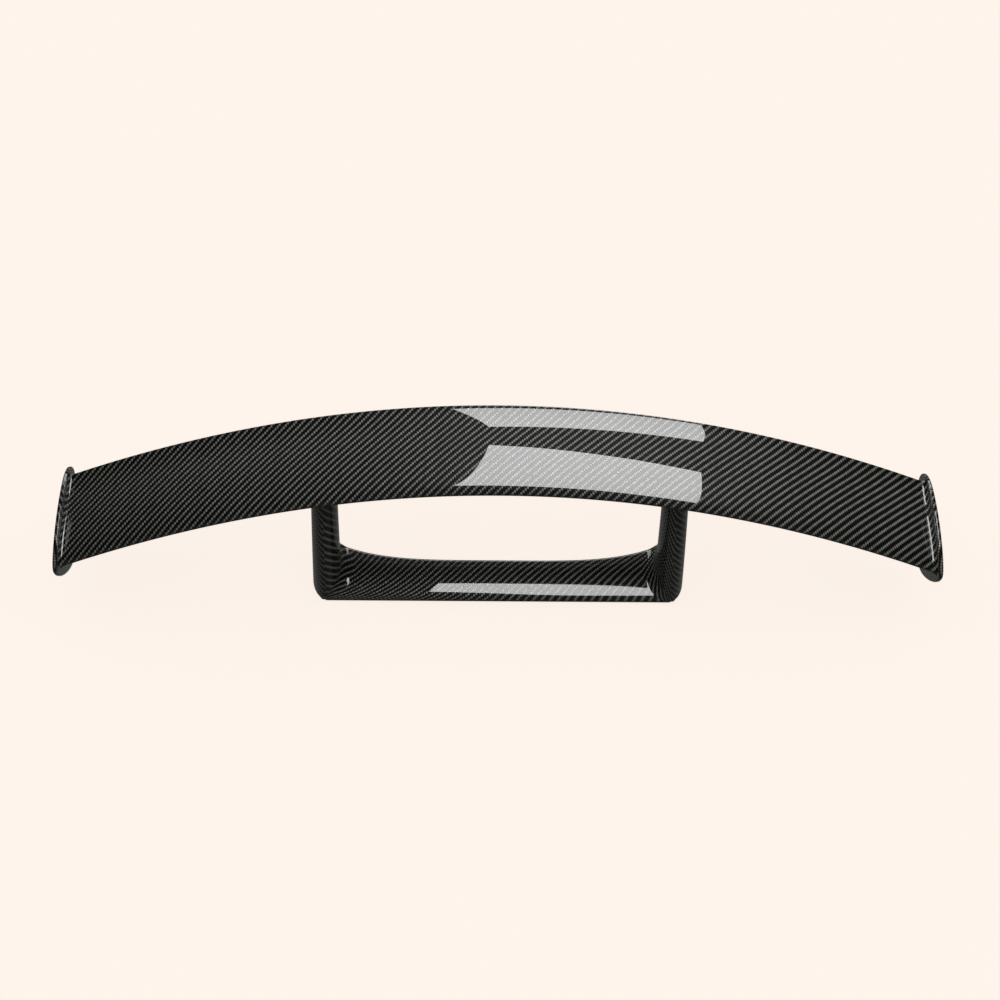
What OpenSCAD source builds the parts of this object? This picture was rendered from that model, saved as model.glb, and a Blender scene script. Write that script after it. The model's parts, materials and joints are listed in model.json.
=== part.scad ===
// Racing rear wing: an arched hollow blade with end plates, carried on a U-shaped moulded pedestal.
// Frame: +X to the right, +Y to the rear, +Z up, in millimetres.
// The origin is the centre of the four lid bolts, on the underside of the pedestal's gasket.

/* [Blade] */
// Half the width of the blade, up to the inner faces of the end plates
blade_half_span = 602; // [500:1:730]
// Fore-and-aft length of the blade's section
blade_depth = 137; // [114:1:165]
// Greatest thickness of the blade's section
blade_thickness = 17; // [14:0.1:20.5]
// Thickness of the blunt trailing edge
trailing_edge = 3; // [2.5:0.1:3.6]
// Slope of the blade's mean line in degrees, rising to the rear
blade_incline = 13.5; // [11:0.1:17]
// Height of the upturn at the rear of the blade
kick_height = 8.6; // [7:0.1:12.5]
// Share of the depth where the upturn starts
kick_start = 0.66; // [0.62:0.01:0.75]
// How far the blade's tips hang below its middle
arch_drop = 88; // [73:1:106]
// How far the blade's tips reach ahead of its middle
tip_sweep = 57; // [47:1:69]
// Height of the leading edge above the mounting face, at the middle
blade_height = 186; // [155:1:224]
// Place of the leading edge behind the bolt pattern's centre, at the middle
blade_y = -15; // [-18:1:-12]
// Wall of the blade's two skins
blade_skin = 1.8; // [1.5:0.1:2.2]

/* [End plates] */
// Thickness of an end plate
plate_thickness = 6; // [5:0.1:7.2]
// Radius of an end plate's rounded rim
plate_rim_r = 2.4; // [1.8:0.1:2.4]
// Reach of an end plate ahead of the leading edge
plate_front = 11; // [9:0.5:14]
// Reach of an end plate behind the trailing edge
plate_behind = 36; // [30:0.5:44]
// Height of an end plate's crest above the leading edge
plate_above = 50; // [46:0.5:60]
// Reach of an end plate below the leading edge
plate_below = 72; // [60:0.5:86]
// Radius of the fillet between the blade and an end plate
tip_fillet = 8; // [6.5:0.5:10]

/* [Pedestal] */
// Distance between the centres of the two struts
strut_spacing = 486; // [405:1:584]
// Fore-and-aft length of a strut at its foot
strut_chord = 90; // [84:1:108]
// Fore-and-aft length of a strut at its top
strut_chord_top = 80; // [74:1:90]
// Thickness of a strut at its foot
strut_width = 40; // [36:0.5:48]
// Thickness of a strut at its top
strut_width_top = 36; // [33:0.5:43]
// How far a strut's nose leans back from foot to top
strut_rake = 27; // [22:1:32]
// Place of the pedestal's front lip, ahead of the bolt pattern's centre
lip_y = -43; // [-46:1:-40]
// Fore-and-aft depth of the cross bar at its middle
bar_depth = 66; // [58:1:80]
// Height of the cross bar at its rear
bar_height = 24; // [20:0.5:27]
// Height of the cross bar's front lip
lip_height = 7.4; // [7:0.1:9.6]
// Rise of the cross bar's rear edge towards the struts
corner_rise = 9; // [0:0.5:11]
// Radius between cross bar and strut at the front
fillet_front = 12; // [10:0.5:15]
// Radius between cross bar and strut at the rear
fillet_rear = 24; // [20:0.5:29]
// Wall of the pedestal's two skins
pedestal_skin = 2; // [1.7:0.1:2.4]

/* [Seals and fasteners] */
// Thickness of the gasket under the pedestal
gasket = 2; // [1.7:0.1:2.4]
// Least thickness of the pads between struts and blade
pad = 1.5; // [1.2:0.1:2]
// Fore-and-aft distance between the two lid bolts of a strut
lid_bolt_pitch = 44; // [37:0.5:48]
// Thread radius of the lid bolts
lid_bolt_r = 4; // [3.4:0.1:4.8]
// Distance between the two bar bolts
bar_bolt_spacing = 180; // [150:1:216]
// Thread radius of the bar bolts
bar_bolt_r = 3; // [2.5:0.1:3.6]
// Thread radius of the screws that hold the blade
head_screw_r = 3; // [2.5:0.1:3.5]
// Thread radius of the end plates' screws
plate_screw_r = 2.5; // [2:0.1:2.6]

/* [Inner structure] */
// Share of the depth where the front spar stands
front_spar_at = 0.12; // [0.11:0.01:0.13]
// Share of the depth where the rear spar stands
rear_spar_at = 0.63; // [0.62:0.01:0.65]
// Width of a spar's flanges
spar_flange = 5; // [4:0.5:6]
// Wall of a spar
spar_wall = 1.5; // [1.2:0.1:1.8]
// Thickness of an inner rib
rib_thickness = 4; // [3.3:0.1:4.8]
// Thickness of a tip rib
tip_rib_thickness = 9; // [7.5:0.1:10.8]
// Thickness of the strut brackets' flanges
flange_thickness = 6; // [5:0.1:7.2]
// Thickness of the strut brackets' webs
web_thickness = 6; // [5:0.1:7.2]

/* [Hidden] */

span_steps = 32;      // blade stations from tip to tip
chord_steps = 22;     // points along each blade surface
strut_steps = 4;      // pedestal stations up a strut
turn_steps = 6;       // pedestal stations round a corner
bar_steps = 9;        // pedestal stations along half the cross bar
girth_steps = 18;     // points across each pedestal surface
glue = 0.1;           // glue line between bonded edges
fit = 0.4;            // paste gap between an inner piece and a skin
slack = 0.1;          // radial room of a screw in its thread
hole_slack = 0.3;     // radial room of a screw in a clearance hole
seal_gap = 0.3;       // room between a seal's top and the blade
turn_radius = 6;      // outer radius between a strut and the underside
lip_share = 0.07;     // share of the depth over which the front lip rounds off
tail_share = 0.13;    // share of the depth over which the rear edge rounds off
sole_share = 0.05;    // share of the depth over which the underside rounds off

strut_x = strut_spacing / 2;
inner_x = strut_x - strut_width / 2;
seam_z = gasket + lip_height / 2;
bar_bolt_y = lip_y + bar_depth / 2;
tip_x = blade_half_span;
plate_x = tip_x + plate_thickness;

function lerp(a, b, t) = a + (b - a) * t;
function unit(v) = v / norm(v);

// ---- Blade section and its place along the span ----

function bow(x) = pow(x / blade_half_span, 2);
function half_thick(s) = 5 * blade_thickness * (0.2969 * sqrt(s) - 0.1260 * s - 0.3516 * pow(s, 2)
    + 0.2843 * pow(s, 3) - 0.1036 * pow(s, 4)) + trailing_edge / 2 * s;
function kick(s) = kick_height * pow(max(0, (s - kick_start) / (1 - kick_start)), 3);
function mean_line(s) = blade_depth * s * tan(blade_incline) + kick(s);
// side is 1 on the upper surface and -1 on the lower one
function section_point(s, side) = [blade_depth * s, mean_line(s) + side * half_thick(s)];
function share(j, steps) = (1 - cos(180 * j / steps)) / 2;
function section_tangent(s, side) = s <= 0 ? [0, side]
    : unit(section_point(min(1, s + 0.002), side) - section_point(max(0, s - 0.002), side));
function inset_point(s, side, wall) = let (t = section_tangent(s, side))
    section_point(s, side) + side * wall * [t[1], -t[0]];
function skin_at(s) = s < 0.5 ? blade_skin : min(blade_skin, half_thick(s) - glue / 2);
function place(x, p) = [x, blade_y - tip_sweep * bow(x) + p[0], blade_height - arch_drop * bow(x) + p[1]];
function span(i) = lerp(-blade_half_span, blade_half_span, i / span_steps);
function skin_grid(side, inner) = [for (i = [0:span_steps]) [for (j = [0:chord_steps])
    let (s = share(j, chord_steps)) place(span(i), inset_point(s, side, inner ? skin_at(s) : 0))]];
// A surface between two shares of the depth, a fixed distance inside the skins, short of the tips
function bay_grid(side, from, to, steps, inset, tip_gap) = [for (i = [0:span_steps]) [for (j = [0:steps])
    place(span(i) * (1 - tip_gap / blade_half_span),
        inset_point(lerp(from, to, j / steps), side, inset))]];
function under(x, y) = let (s = (y - blade_y + tip_sweep * bow(x)) / blade_depth)
    blade_height - arch_drop * bow(x) + mean_line(s) - half_thick(s);

// ---- The plane on which the blade sits on each strut ----

saddle_slope_y = tan(blade_incline);
saddle_slope_x = -2 * arch_drop * strut_x / pow(blade_half_span, 2);
strut_le = place(strut_x, [0, 0]);
belly = half_thick(0.3);
saddle_y = lip_y + strut_rake + strut_chord_top / 2;
function saddle_z(x, y) = strut_le[2] + saddle_slope_y * (y - strut_le[1]) - belly - pad
    + saddle_slope_x * (abs(x) - strut_x);

// Puts its children on the right strut's saddle: z is square to the saddle plane
module on_saddle() {
    ex = unit([1, 0, saddle_slope_x]);
    ez = unit(cross([1, 0, saddle_slope_x], [0, 1, saddle_slope_y]));
    ey = cross(ez, ex);
    o = [strut_x, saddle_y, saddle_z(strut_x, saddle_y)];
    multmatrix([[ex[0], ey[0], ez[0], o[0]], [ex[1], ey[1], ez[1], o[1]], [ex[2], ey[2], ez[2], o[2]]])
        children();
}

// ---- Pedestal surfaces ----

function swell(c) = pow(sin(180 * pow(c, 0.85)), 0.6);
function rounding(c, part) = c >= part ? 1 : sqrt(1 - pow(1 - c / part, 2));
function crown(c) = min(rounding(c, lip_share), rounding(1 - c, tail_share));
function bar_top(c, x) = lerp(seam_z, gasket + lerp(lip_height, bar_height, sin(100 * c))
    + corner_rise * c * pow(x / strut_x, 4), crown(c));
function bar_bottom(c) = lerp(seam_z, gasket, min(rounding(c, sole_share), rounding(1 - c, sole_share)));
function depth_at(x) = lerp(bar_depth, strut_chord, pow(min(1, abs(x) / inner_x), 4));
function lean(v) = pow(v, 1.5);
function chord_at(v) = lerp(strut_chord, strut_chord_top, lean(v));
function nose_at(v) = lip_y + strut_rake * lean(v);
// side is 1 on the outboard and underneath surface, and -1 on the surface towards the window
function strut_face(side, c, v) = strut_x + side * lerp(strut_width, strut_width_top, v) / 2 * swell(c);
function level(side, c, x) = side > 0 ? bar_bottom(c) : bar_top(c, x);
function turn(side, c) = side > 0 ? turn_radius
    : lerp(turn_radius, lerp(fillet_front, fillet_rear, c), crown(c));
function strut_point(side, c, v) = let (x = strut_face(side, c, v), y = nose_at(v) + c * chord_at(v),
    foot = level(side, c, strut_face(side, c, 0)) + turn(side, c),
    top = saddle_z(strut_face(side, c, 1), nose_at(1) + c * chord_at(1)))
    [x, y, lerp(foot, top, v)];
function turn_point(side, c, a) = let (r = turn(side, c), x = strut_face(side, c, 0) - r + r * sin(a))
    [x, lip_y + c * depth_at(x), level(side, c, x) + r * (1 - cos(a))];
function bar_point(side, c, t) = let (x = (strut_face(side, c, 0) - turn(side, c)) * (1 - t))
    [x, lip_y + c * depth_at(x), level(side, c, x)];
function half_rows(side) = [
    for (k = [0:strut_steps]) [for (j = [0:girth_steps])
        strut_point(side, share(j, girth_steps), 1 - k / strut_steps)],
    for (k = [1:turn_steps]) [for (j = [0:girth_steps])
        turn_point(side, share(j, girth_steps), 90 * (1 - k / turn_steps))],
    for (k = [1:bar_steps]) [for (j = [0:girth_steps])
        bar_point(side, share(j, girth_steps), k / bar_steps)]];
function flip_x(p) = [-p[0], p[1], p[2]];
function u_grid(side) = let (half = half_rows(side), last = len(half) - 1)
    [each half, for (k = [last - 1:-1:0]) [for (p = half[k]) flip_x(p)]];
function clamp_row(i, n) = max(0, min(n, i));
function grid_normal(g, i, j) = let (m = len(g) - 1, n = len(g[0]) - 1,
    di = g[clamp_row(i + 1, m)][j] - g[clamp_row(i - 1, m)][j],
    dj = g[i][clamp_row(j + 1, n)] - g[i][clamp_row(j - 1, n)])
    unit(cross(di, dj));
function on_top(p) = [p[0], p[1], saddle_z(p[0], p[1])];
// The cavity side of a pedestal skin: its seam edges move straight fore and aft, so both skins share them
function cavity_grid(g, side, wall) = let (m = len(g) - 1, n = len(g[0]) - 1)
    [for (i = [0:m]) [for (j = [0:n]) let (p = j == 0 ? g[i][j] + [0, wall, 0]
        : j == n ? g[i][j] - [0, wall, 0]
        : g[i][j] - side * wall * grid_normal(g, i, j))
        i == 0 || i == m ? on_top(p) : p]];

// ---- Building blocks ----

// A closed solid between two grids of points of the same size
module thick_sheet(a, b, flip = false, wrap = false) {
    m = len(a) - 1;
    w = len(a[0]);
    n = wrap ? w : w - 1;
    off = (m + 1) * w;
    function at(i, j) = i * w + j % w;
    function split(q) = flip ? [[q[2], q[1], q[0]], [q[3], q[2], q[0]]]
        : [[q[2], q[0], q[1]], [q[3], q[0], q[2]]];
    faces = [
        for (i = [0:m - 1]) for (j = [0:n - 1]) each split([at(i, j), at(i, j + 1),
            at(i + 1, j + 1), at(i + 1, j)]),
        for (i = [0:m - 1]) for (j = [0:n - 1]) each split([off + at(i, j), off + at(i + 1, j),
            off + at(i + 1, j + 1), off + at(i, j + 1)]),
        if (!wrap) for (i = [0:m - 1]) each split([at(i, 0), at(i + 1, 0),
            off + at(i + 1, 0), off + at(i, 0)]),
        if (!wrap) for (i = [0:m - 1]) each split([at(i + 1, n), at(i, n),
            off + at(i, n), off + at(i + 1, n)]),
        for (j = [0:n - 1]) each split([at(0, j + 1), at(0, j), off + at(0, j), off + at(0, j + 1)]),
        for (j = [0:n - 1]) each split([at(m, j), at(m, j + 1), off + at(m, j + 1), off + at(m, j)])];
    polyhedron(points = [for (r = a) each r, for (r = b) each r], faces = faces);
}

// A closed solid through a row of loops, with a flat cap on the first and the last one
module stack(loops) {
    w = len(loops[0]);
    last = len(loops) - 1;
    function at(i, j) = i * w + j % w;
    faces = [
        for (i = [0:last - 1]) for (j = [0:w - 1]) each [[at(i, j), at(i + 1, j + 1), at(i, j + 1)],
            [at(i, j), at(i + 1, j), at(i + 1, j + 1)]],
        [for (j = [0:w - 1]) at(0, j)],
        [for (j = [w - 1:-1:0]) at(last, j)]];
    polyhedron(points = [for (r = loops) each r], faces = faces);
}

// Stands a drawing of y and z up as a plate across the span, from x to x + thickness
module across(x, thickness) {
    translate([x, 0, 0]) rotate([90, 0, 90]) linear_extrude(thickness) children();
}

module on_side(right) {
    if (right) children(); else mirror([1, 0, 0]) children();
}

// The outline of a strut in plan, drawn in from its surface
module strut_plan(v, inset, from, to) {
    steps = 16;
    function edge(side) = [for (j = [0:steps]) let (c = lerp(from, to, j / steps))
        [side * (lerp(strut_width, strut_width_top, v) / 2 * swell(c) - inset),
            nose_at(v) + c * chord_at(v)]];
    right_edge = edge(1);
    left_edge = edge(-1);
    polygon([each right_edge, for (j = [steps:-1:0]) left_edge[j]]);
}

// ---- Blade ----

module carbon() color([0.09, 0.09, 0.10]) children();
module foam() color([0.93, 0.80, 0.55]) children();
module alloy() color([0.70, 0.71, 0.73]) children();
module steel() color([0.55, 0.56, 0.58]) children();
module rubber() color([0.06, 0.06, 0.06]) children();

head_screw_offsets = [-20, 20];

module head_screw_holes(r, low, high) {
    on_saddle() for (y = head_screw_offsets) translate([0, y, low])
        cylinder(r = r, h = high - low, $fn = 32);
}

module blade_upper_skin() {
    carbon() thick_sheet(skin_grid(1, false), skin_grid(1, true));
}

module blade_lower_skin() {
    carbon() difference() {
        thick_sheet(skin_grid(-1, false), skin_grid(-1, true), flip = true);
        for (right = [false, true]) on_side(right)
            head_screw_holes(head_screw_r + hole_slack, -2, belly);
    }
}

// A channel between the skins: its web stands at a share of the depth and its flanges point to the rear
function channel_grid(at, inset, web_shift) = let (deep = spar_flange / blade_depth)
    [for (i = [0:span_steps]) let (x = span(i) * (1 - (tip_rib_thickness + fit) / blade_half_span),
        web = at + web_shift / blade_depth,
        top_rear = inset_point(at + deep, 1, inset), top = inset_point(web, 1, inset),
        low = inset_point(web, -1, inset), low_rear = inset_point(at + deep, -1, inset))
        [place(x, top_rear), place(x, top), place(x, low), place(x, low_rear)]];

module spar(at) {
    gap = blade_skin + fit;
    carbon() thick_sheet(channel_grid(at, gap, 0), channel_grid(at, gap + spar_wall, spar_wall),
        flip = true);
}

module leading_edge_core() {
    inset = blade_skin + fit;
    foam() thick_sheet(bay_grid(1, 0.035, front_spar_at - 0.012, 5, inset, tip_rib_thickness + fit),
        bay_grid(-1, 0.035, front_spar_at - 0.012, 5, inset, tip_rib_thickness + fit));
}

module trailing_edge_core() {
    inset = blade_skin + fit;
    from = rear_spar_at + (spar_flange + 1) / blade_depth;
    foam() thick_sheet(bay_grid(1, from, 0.9, 8, inset, tip_rib_thickness + fit),
        bay_grid(-1, from, 0.9, 8, inset, tip_rib_thickness + fit));
}

// The outline between the spars, inside the skins, moved to its place in the span
module rib_outline(x, inset) {
    steps = 10;
    from = front_spar_at + (spar_flange + 1.5) / blade_depth;
    to = rear_spar_at - 1.5 / blade_depth;
    o = place(x, [0, 0]);
    function edge(side) = [for (j = [0:steps])
        [o[1], o[2]] + inset_point(lerp(from, to, j / steps), side, inset)];
    top = edge(1);
    low = edge(-1);
    polygon([each top, for (j = [steps:-1:0]) low[j]]);
}

// A rib centred at x, with room for the blade's slope across its thickness
module rib(x) {
    slope = 2 * arch_drop * abs(x) / pow(blade_half_span, 2);
    carbon() difference() {
        across(x - rib_thickness / 2, rib_thickness)
            rib_outline(x, blade_skin + fit + slope * rib_thickness / 2);
        for (s = [0.27, 0.46]) let (p = place(x, [blade_depth * s, mean_line(s)]))
            translate([x - rib_thickness, p[1], p[2]]) rotate([0, 90, 0])
                cylinder(r = 2.4, h = 2 * rib_thickness, $fn = 24);
    }
}

rib_inner_x = strut_x - 36;
rib_outer_x = strut_x + 36;
rib_mid_x = (rib_outer_x + tip_x) / 2;

plate_screw_shares = [0.22, 0.38, 0.54];

// Rods along X at the end plate's screw places
module plate_screw_rods(r, from, to) {
    for (s = plate_screw_shares) let (p = place(tip_x, [blade_depth * s, mean_line(s)]))
        translate([from, p[1], p[2]]) rotate([0, 90, 0]) cylinder(r = r, h = to - from, $fn = 32);
}

module tip_rib(right) {
    slope = 2 * arch_drop / blade_half_span;
    alloy() on_side(right) difference() {
        across(tip_x - tip_rib_thickness, tip_rib_thickness)
            rib_outline(tip_x, blade_skin + fit + slope * tip_rib_thickness / 2);
        plate_screw_rods(plate_screw_r + slack, tip_x - tip_rib_thickness - 1, tip_x + 1);
    }
}

// Half-thicknesses at the ends of a hardpoint set how much room it has above and below
module hardpoint(right) {
    from = front_spar_at + (spar_flange + 2) / blade_depth;
    to = rear_spar_at - 3 / blade_depth;
    thin = min(half_thick(from), half_thick(to));
    low = pad + belly - thin + blade_skin + fit;
    high = pad + belly + thin - blade_skin - fit;
    front = strut_le[1] + from * blade_depth - saddle_y;
    rear = strut_le[1] + to * blade_depth - saddle_y;
    across_tilt = 1 / cos(blade_incline);
    alloy() on_side(right) difference() {
        on_saddle() translate([-13, (front + 2) * across_tilt, low])
            cube([26, (rear - front - 4) * across_tilt, (high - low) * cos(blade_incline) - fit]);
        head_screw_holes(head_screw_r + slack, 0, 2 * belly + 10);
    }
}

// ---- End plates ----

function bezier(p, t) = pow(1 - t, 3) * p[0] + 3 * pow(1 - t, 2) * t * p[1] + 3 * (1 - t) * t * t * p[2]
    + pow(t, 3) * p[3];

// The rim as [y, z] points from the leading edge, through its four outermost places
plate_nose = [-plate_front, 4];
plate_crest = [blade_depth * 0.84, plate_above];
plate_tail = [blade_depth + plate_behind, 14];
plate_keel = [blade_depth * 0.58, -plate_below];
plate_curves = [
    [plate_nose, plate_nose + [0, 16], plate_crest - [70, 0], plate_crest],
    [plate_crest, plate_crest + [30, 0], plate_tail + [0, 22], plate_tail],
    [plate_tail, plate_tail - [0, 34], plate_keel + [48, 0], plate_keel],
    [plate_keel, plate_keel - [22, 0], plate_nose - [0, 22], plate_nose]];
curve_steps = 12;
plate_rim = [for (p = plate_curves) for (k = [0:curve_steps - 1]) bezier(p, k / curve_steps)];

function plate_loop(x, inset) = let (n = len(plate_rim)) [for (k = [0:n - 1])
    let (t = unit(plate_rim[(k + 1) % n] - plate_rim[(k + n - 1) % n]))
    place(tip_x, plate_rim[k] + inset * [t[1], -t[0]]) + [x - tip_x, 0, 0]];

// The rim's round, from the inner face to the outer one
module plate_blank() {
    steps = 5;
    angles = [for (k = [0:steps]) 90 * k / steps];
    near = [for (a = angles) plate_loop(tip_x + plate_rim_r * (1 - cos(a)), plate_rim_r * (1 - sin(a)))];
    far = [for (a = angles) plate_loop(plate_x - plate_rim_r * (1 - sin(a)), plate_rim_r * (1 - cos(a)))];
    stack([each near, each far]);
}

module end_plate(right) {
    carbon() on_side(right) difference() {
        plate_blank();
        plate_screw_rods(plate_screw_r + hole_slack, tip_x - 1, plate_x + 1);
        plate_screw_rods(plate_screw_r + 2.2 + hole_slack, plate_x - 3, plate_x + 1);
    }
}

module end_plate_screws(right) {
    tip = tip_x - tip_rib_thickness + 1;
    steel() on_side(right) difference() {
        union() {
            plate_screw_rods(plate_screw_r, tip, plate_x - 1);
            plate_screw_rods(plate_screw_r + 2.2, plate_x - 3, plate_x - 0.3);
        }
        plate_screw_rods(plate_screw_r * 0.6, plate_x - 2, plate_x + 1);
    }
}

// The trumpet-shaped fillet that carries each surface of the blade into the end plate
tip_loop_shares = [for (j = [chord_steps:-1:0]) share(j, chord_steps)];
function tip_loop(x, out) = [
    for (j = [chord_steps:-1:0]) place(x, inset_point(share(j, chord_steps), 1, -out)),
    for (j = [1:chord_steps]) place(x, inset_point(share(j, chord_steps), -1, -out))];

module tip_fillet_ring(right) {
    steps = 6;
    feather = 0.4;
    function angle_at(k) = 90 * k / steps;
    function ring_x(k) = tip_x - tip_fillet * (1 - sin(angle_at(k)));
    function flare(k) = feather + (tip_fillet - feather) * (1 - cos(angle_at(k)));
    outer = [for (k = [0:steps]) tip_loop(ring_x(k), flare(k))];
    inner = [for (k = [0:steps]) tip_loop(ring_x(k), 0.15)];
    carbon() on_side(right) thick_sheet(outer, inner, wrap = true);
}

// ---- Pedestal ----

module pedestal_window_skin() {
    g = u_grid(-1);
    carbon() thick_sheet(cavity_grid(g, -1, pedestal_skin), g);
}

module lid_bolt_rods(r, low, high) {
    for (x = [-strut_x, strut_x]) for (y = [-1, 1] * lid_bolt_pitch / 2)
        translate([x, y, low]) cylinder(r = r, h = high - low, $fn = 48);
}

module bar_bolt_rods(r, low, high) {
    for (x = [-1, 1] * bar_bolt_spacing / 2)
        translate([x, bar_bolt_y, low]) cylinder(r = r, h = high - low, $fn = 48);
}

lid_insert_r = lid_bolt_r + 2.5;
bar_insert_r = bar_bolt_r + 2;

module pedestal_outer_skin() {
    g = u_grid(1);
    carbon() difference() {
        thick_sheet(g, cavity_grid(g, 1, pedestal_skin));
        lid_bolt_rods(lid_insert_r + slack, -1, gasket + pedestal_skin + 1);
        bar_bolt_rods(bar_insert_r + slack, -1, gasket + pedestal_skin + 1);
    }
}

core_floor = gasket + pedestal_skin + fit;
core_end = strut_x - strut_width / 2 - fillet_rear;

module bar_core() {
    steps = 8;
    from = 0.12;
    to = 0.84;
    top = [for (j = [0:steps]) let (c = lerp(from, to, j / steps))
        [lip_y + c * bar_depth, bar_top(c, 0) - pedestal_skin - fit]];
    foam() difference() {
        across(-core_end, 2 * core_end)
            polygon([each top, [lip_y + to * bar_depth, core_floor], [lip_y + from * bar_depth, core_floor]]);
        bar_bolt_rods(bar_insert_r + slack, 0, gasket + bar_height);
    }
}

foot_top = core_floor + flange_thickness;

// Foot flange, web and head flange, welded into one bracket
module strut_bracket(right) {
    web_low = 22;
    web_high = 28;
    head_low = -flange_thickness;
    alloy() on_side(right) difference() {
        union() {
            translate([strut_x, 0, core_floor]) linear_extrude(flange_thickness)
                strut_plan(0, pedestal_skin + 3, 0.08, 0.9);
            on_saddle() translate([0, -saddle_y, head_low]) linear_extrude(flange_thickness)
                strut_plan(1, pedestal_skin + 3, 0.14, 0.86);
            strut_web(web_low, web_high);
        }
        lid_bolt_rods(lid_insert_r + slack, 0, foot_top + 1);
        head_screw_holes(head_screw_r + hole_slack, head_low - 1, 1);
        translate([strut_x - web_thickness, saddle_y / 2, (foot_top + saddle_z(strut_x, saddle_y)) / 2])
            rotate([0, 90, 0]) cylinder(r = web_low / 3.2, h = 2 * web_thickness, $fn = 48);
    }
}

// The web's side view: a tapered plate from the foot flange up to the sloping head flange
module strut_web(low, high) {
    sink = flange_thickness / 2;
    front = saddle_y - high / 2;
    rear = saddle_y + high / 2;
    under_head = flange_thickness / cos(blade_incline) - sink;
    across(strut_x - web_thickness / 2, web_thickness)
        polygon([[-low / 2, foot_top - sink], [low / 2, foot_top - sink],
            [rear, saddle_z(strut_x, rear) - under_head],
            [front, saddle_z(strut_x, front) - under_head]]);
}

module saddle_pad(right) {
    steps = 12;
    rows = 4;
    function grid(top) = [for (i = [0:rows]) [for (j = [0:steps])
        let (c = lerp(0.01, 0.99, j / steps), y = nose_at(1) + c * chord_at(1),
            x = strut_x + lerp(-1, 1, i / rows) * strut_width_top / 2 * swell(c))
        [x, y, top ? under(x, y) - seal_gap : saddle_z(x, y)]]];
    rubber() on_side(right) difference() {
        thick_sheet(grid(true), grid(false));
        head_screw_holes(head_screw_r + hole_slack, -1, 2 * pad + 6);
    }
}

module head_screws(right) {
    head_low = -flange_thickness;
    high = pad + belly + 3;
    steel() on_side(right) on_saddle() for (y = head_screw_offsets) translate([0, y, 0]) difference() {
        union() {
            translate([0, 0, head_low - head_screw_r * 2])
                cylinder(r = head_screw_r * 1.65, h = head_screw_r * 2, $fn = 48);
            translate([0, 0, head_low - 1]) cylinder(r = head_screw_r, h = high - head_low + 1, $fn = 32);
        }
        translate([0, 0, head_low - head_screw_r * 2 - 1])
            cylinder(r = head_screw_r * 0.95, h = head_screw_r + 1, $fn = 6);
    }
}

module lid_inserts() {
    steel() difference() {
        union() {
            lid_bolt_rods(lid_insert_r, 0, foot_top);
            lid_bolt_rods(lid_insert_r + 2, foot_top, foot_top + 3);
        }
        lid_bolt_rods(lid_bolt_r, -1, foot_top + 4);
    }
}

module bar_inserts() {
    steel() difference() {
        bar_bolt_rods(bar_insert_r, 0, bar_top(0.5, 0) - pedestal_skin - fit);
        bar_bolt_rods(bar_bolt_r, -1, bar_top(0.5, 0) - pedestal_skin - 2.5);
    }
}

module foot_gasket() {
    edge = 3.5;
    rubber() difference() {
        union() {
            for (right = [false, true]) on_side(right)
                translate([strut_x, 0, 0]) linear_extrude(gasket) strut_plan(0, edge, 0.06, 0.94);
            translate([-strut_x, lip_y + edge, 0]) cube([2 * strut_x, bar_depth - 2 * edge, gasket]);
        }
        lid_bolt_rods(lid_insert_r + slack, -1, gasket + 1);
        bar_bolt_rods(bar_insert_r + slack, -1, gasket + 1);
    }
}

blade_upper_skin();
blade_lower_skin();
spar(front_spar_at);  // front_spar
spar(rear_spar_at);  // rear_spar
leading_edge_core();
trailing_edge_core();
rib(0);  // rib_centre
rib(-rib_inner_x);  // rib_left_inner
rib(-rib_outer_x);  // rib_left_outer
rib(-rib_mid_x);  // rib_left_mid
rib(rib_inner_x);  // rib_right_inner
rib(rib_outer_x);  // rib_right_outer
rib(rib_mid_x);  // rib_right_mid
tip_rib(false);  // tip_rib_left
tip_rib(true);  // tip_rib_right
hardpoint(false);  // hardpoint_left
hardpoint(true);  // hardpoint_right
end_plate(false);  // end_plate_left
end_plate(true);  // end_plate_right
tip_fillet_ring(false);  // tip_fillet_left
tip_fillet_ring(true);  // tip_fillet_right
end_plate_screws(false);  // end_plate_screws_left
end_plate_screws(true);  // end_plate_screws_right
pedestal_window_skin();
pedestal_outer_skin();
bar_core();
strut_bracket(false);  // strut_bracket_left
strut_bracket(true);  // strut_bracket_right
saddle_pad(false);  // saddle_pad_left
saddle_pad(true);  // saddle_pad_right
head_screws(false);  // head_screws_left
head_screws(true);  // head_screws_right
lid_inserts();
bar_inserts();
foot_gasket();
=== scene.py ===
"""Looks of a racing rear wing: carbon blade, end plates, moulded pedestal, fasteners, lights and camera."""
from __future__ import annotations

import sys
import json
import logging
import math
from dataclasses import dataclass, field
from enum import Enum
from typing import Any, Mapping, Optional, Sequence, Union

import bmesh
import bpy
import numpy as np
from mathutils import Matrix, Vector


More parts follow.
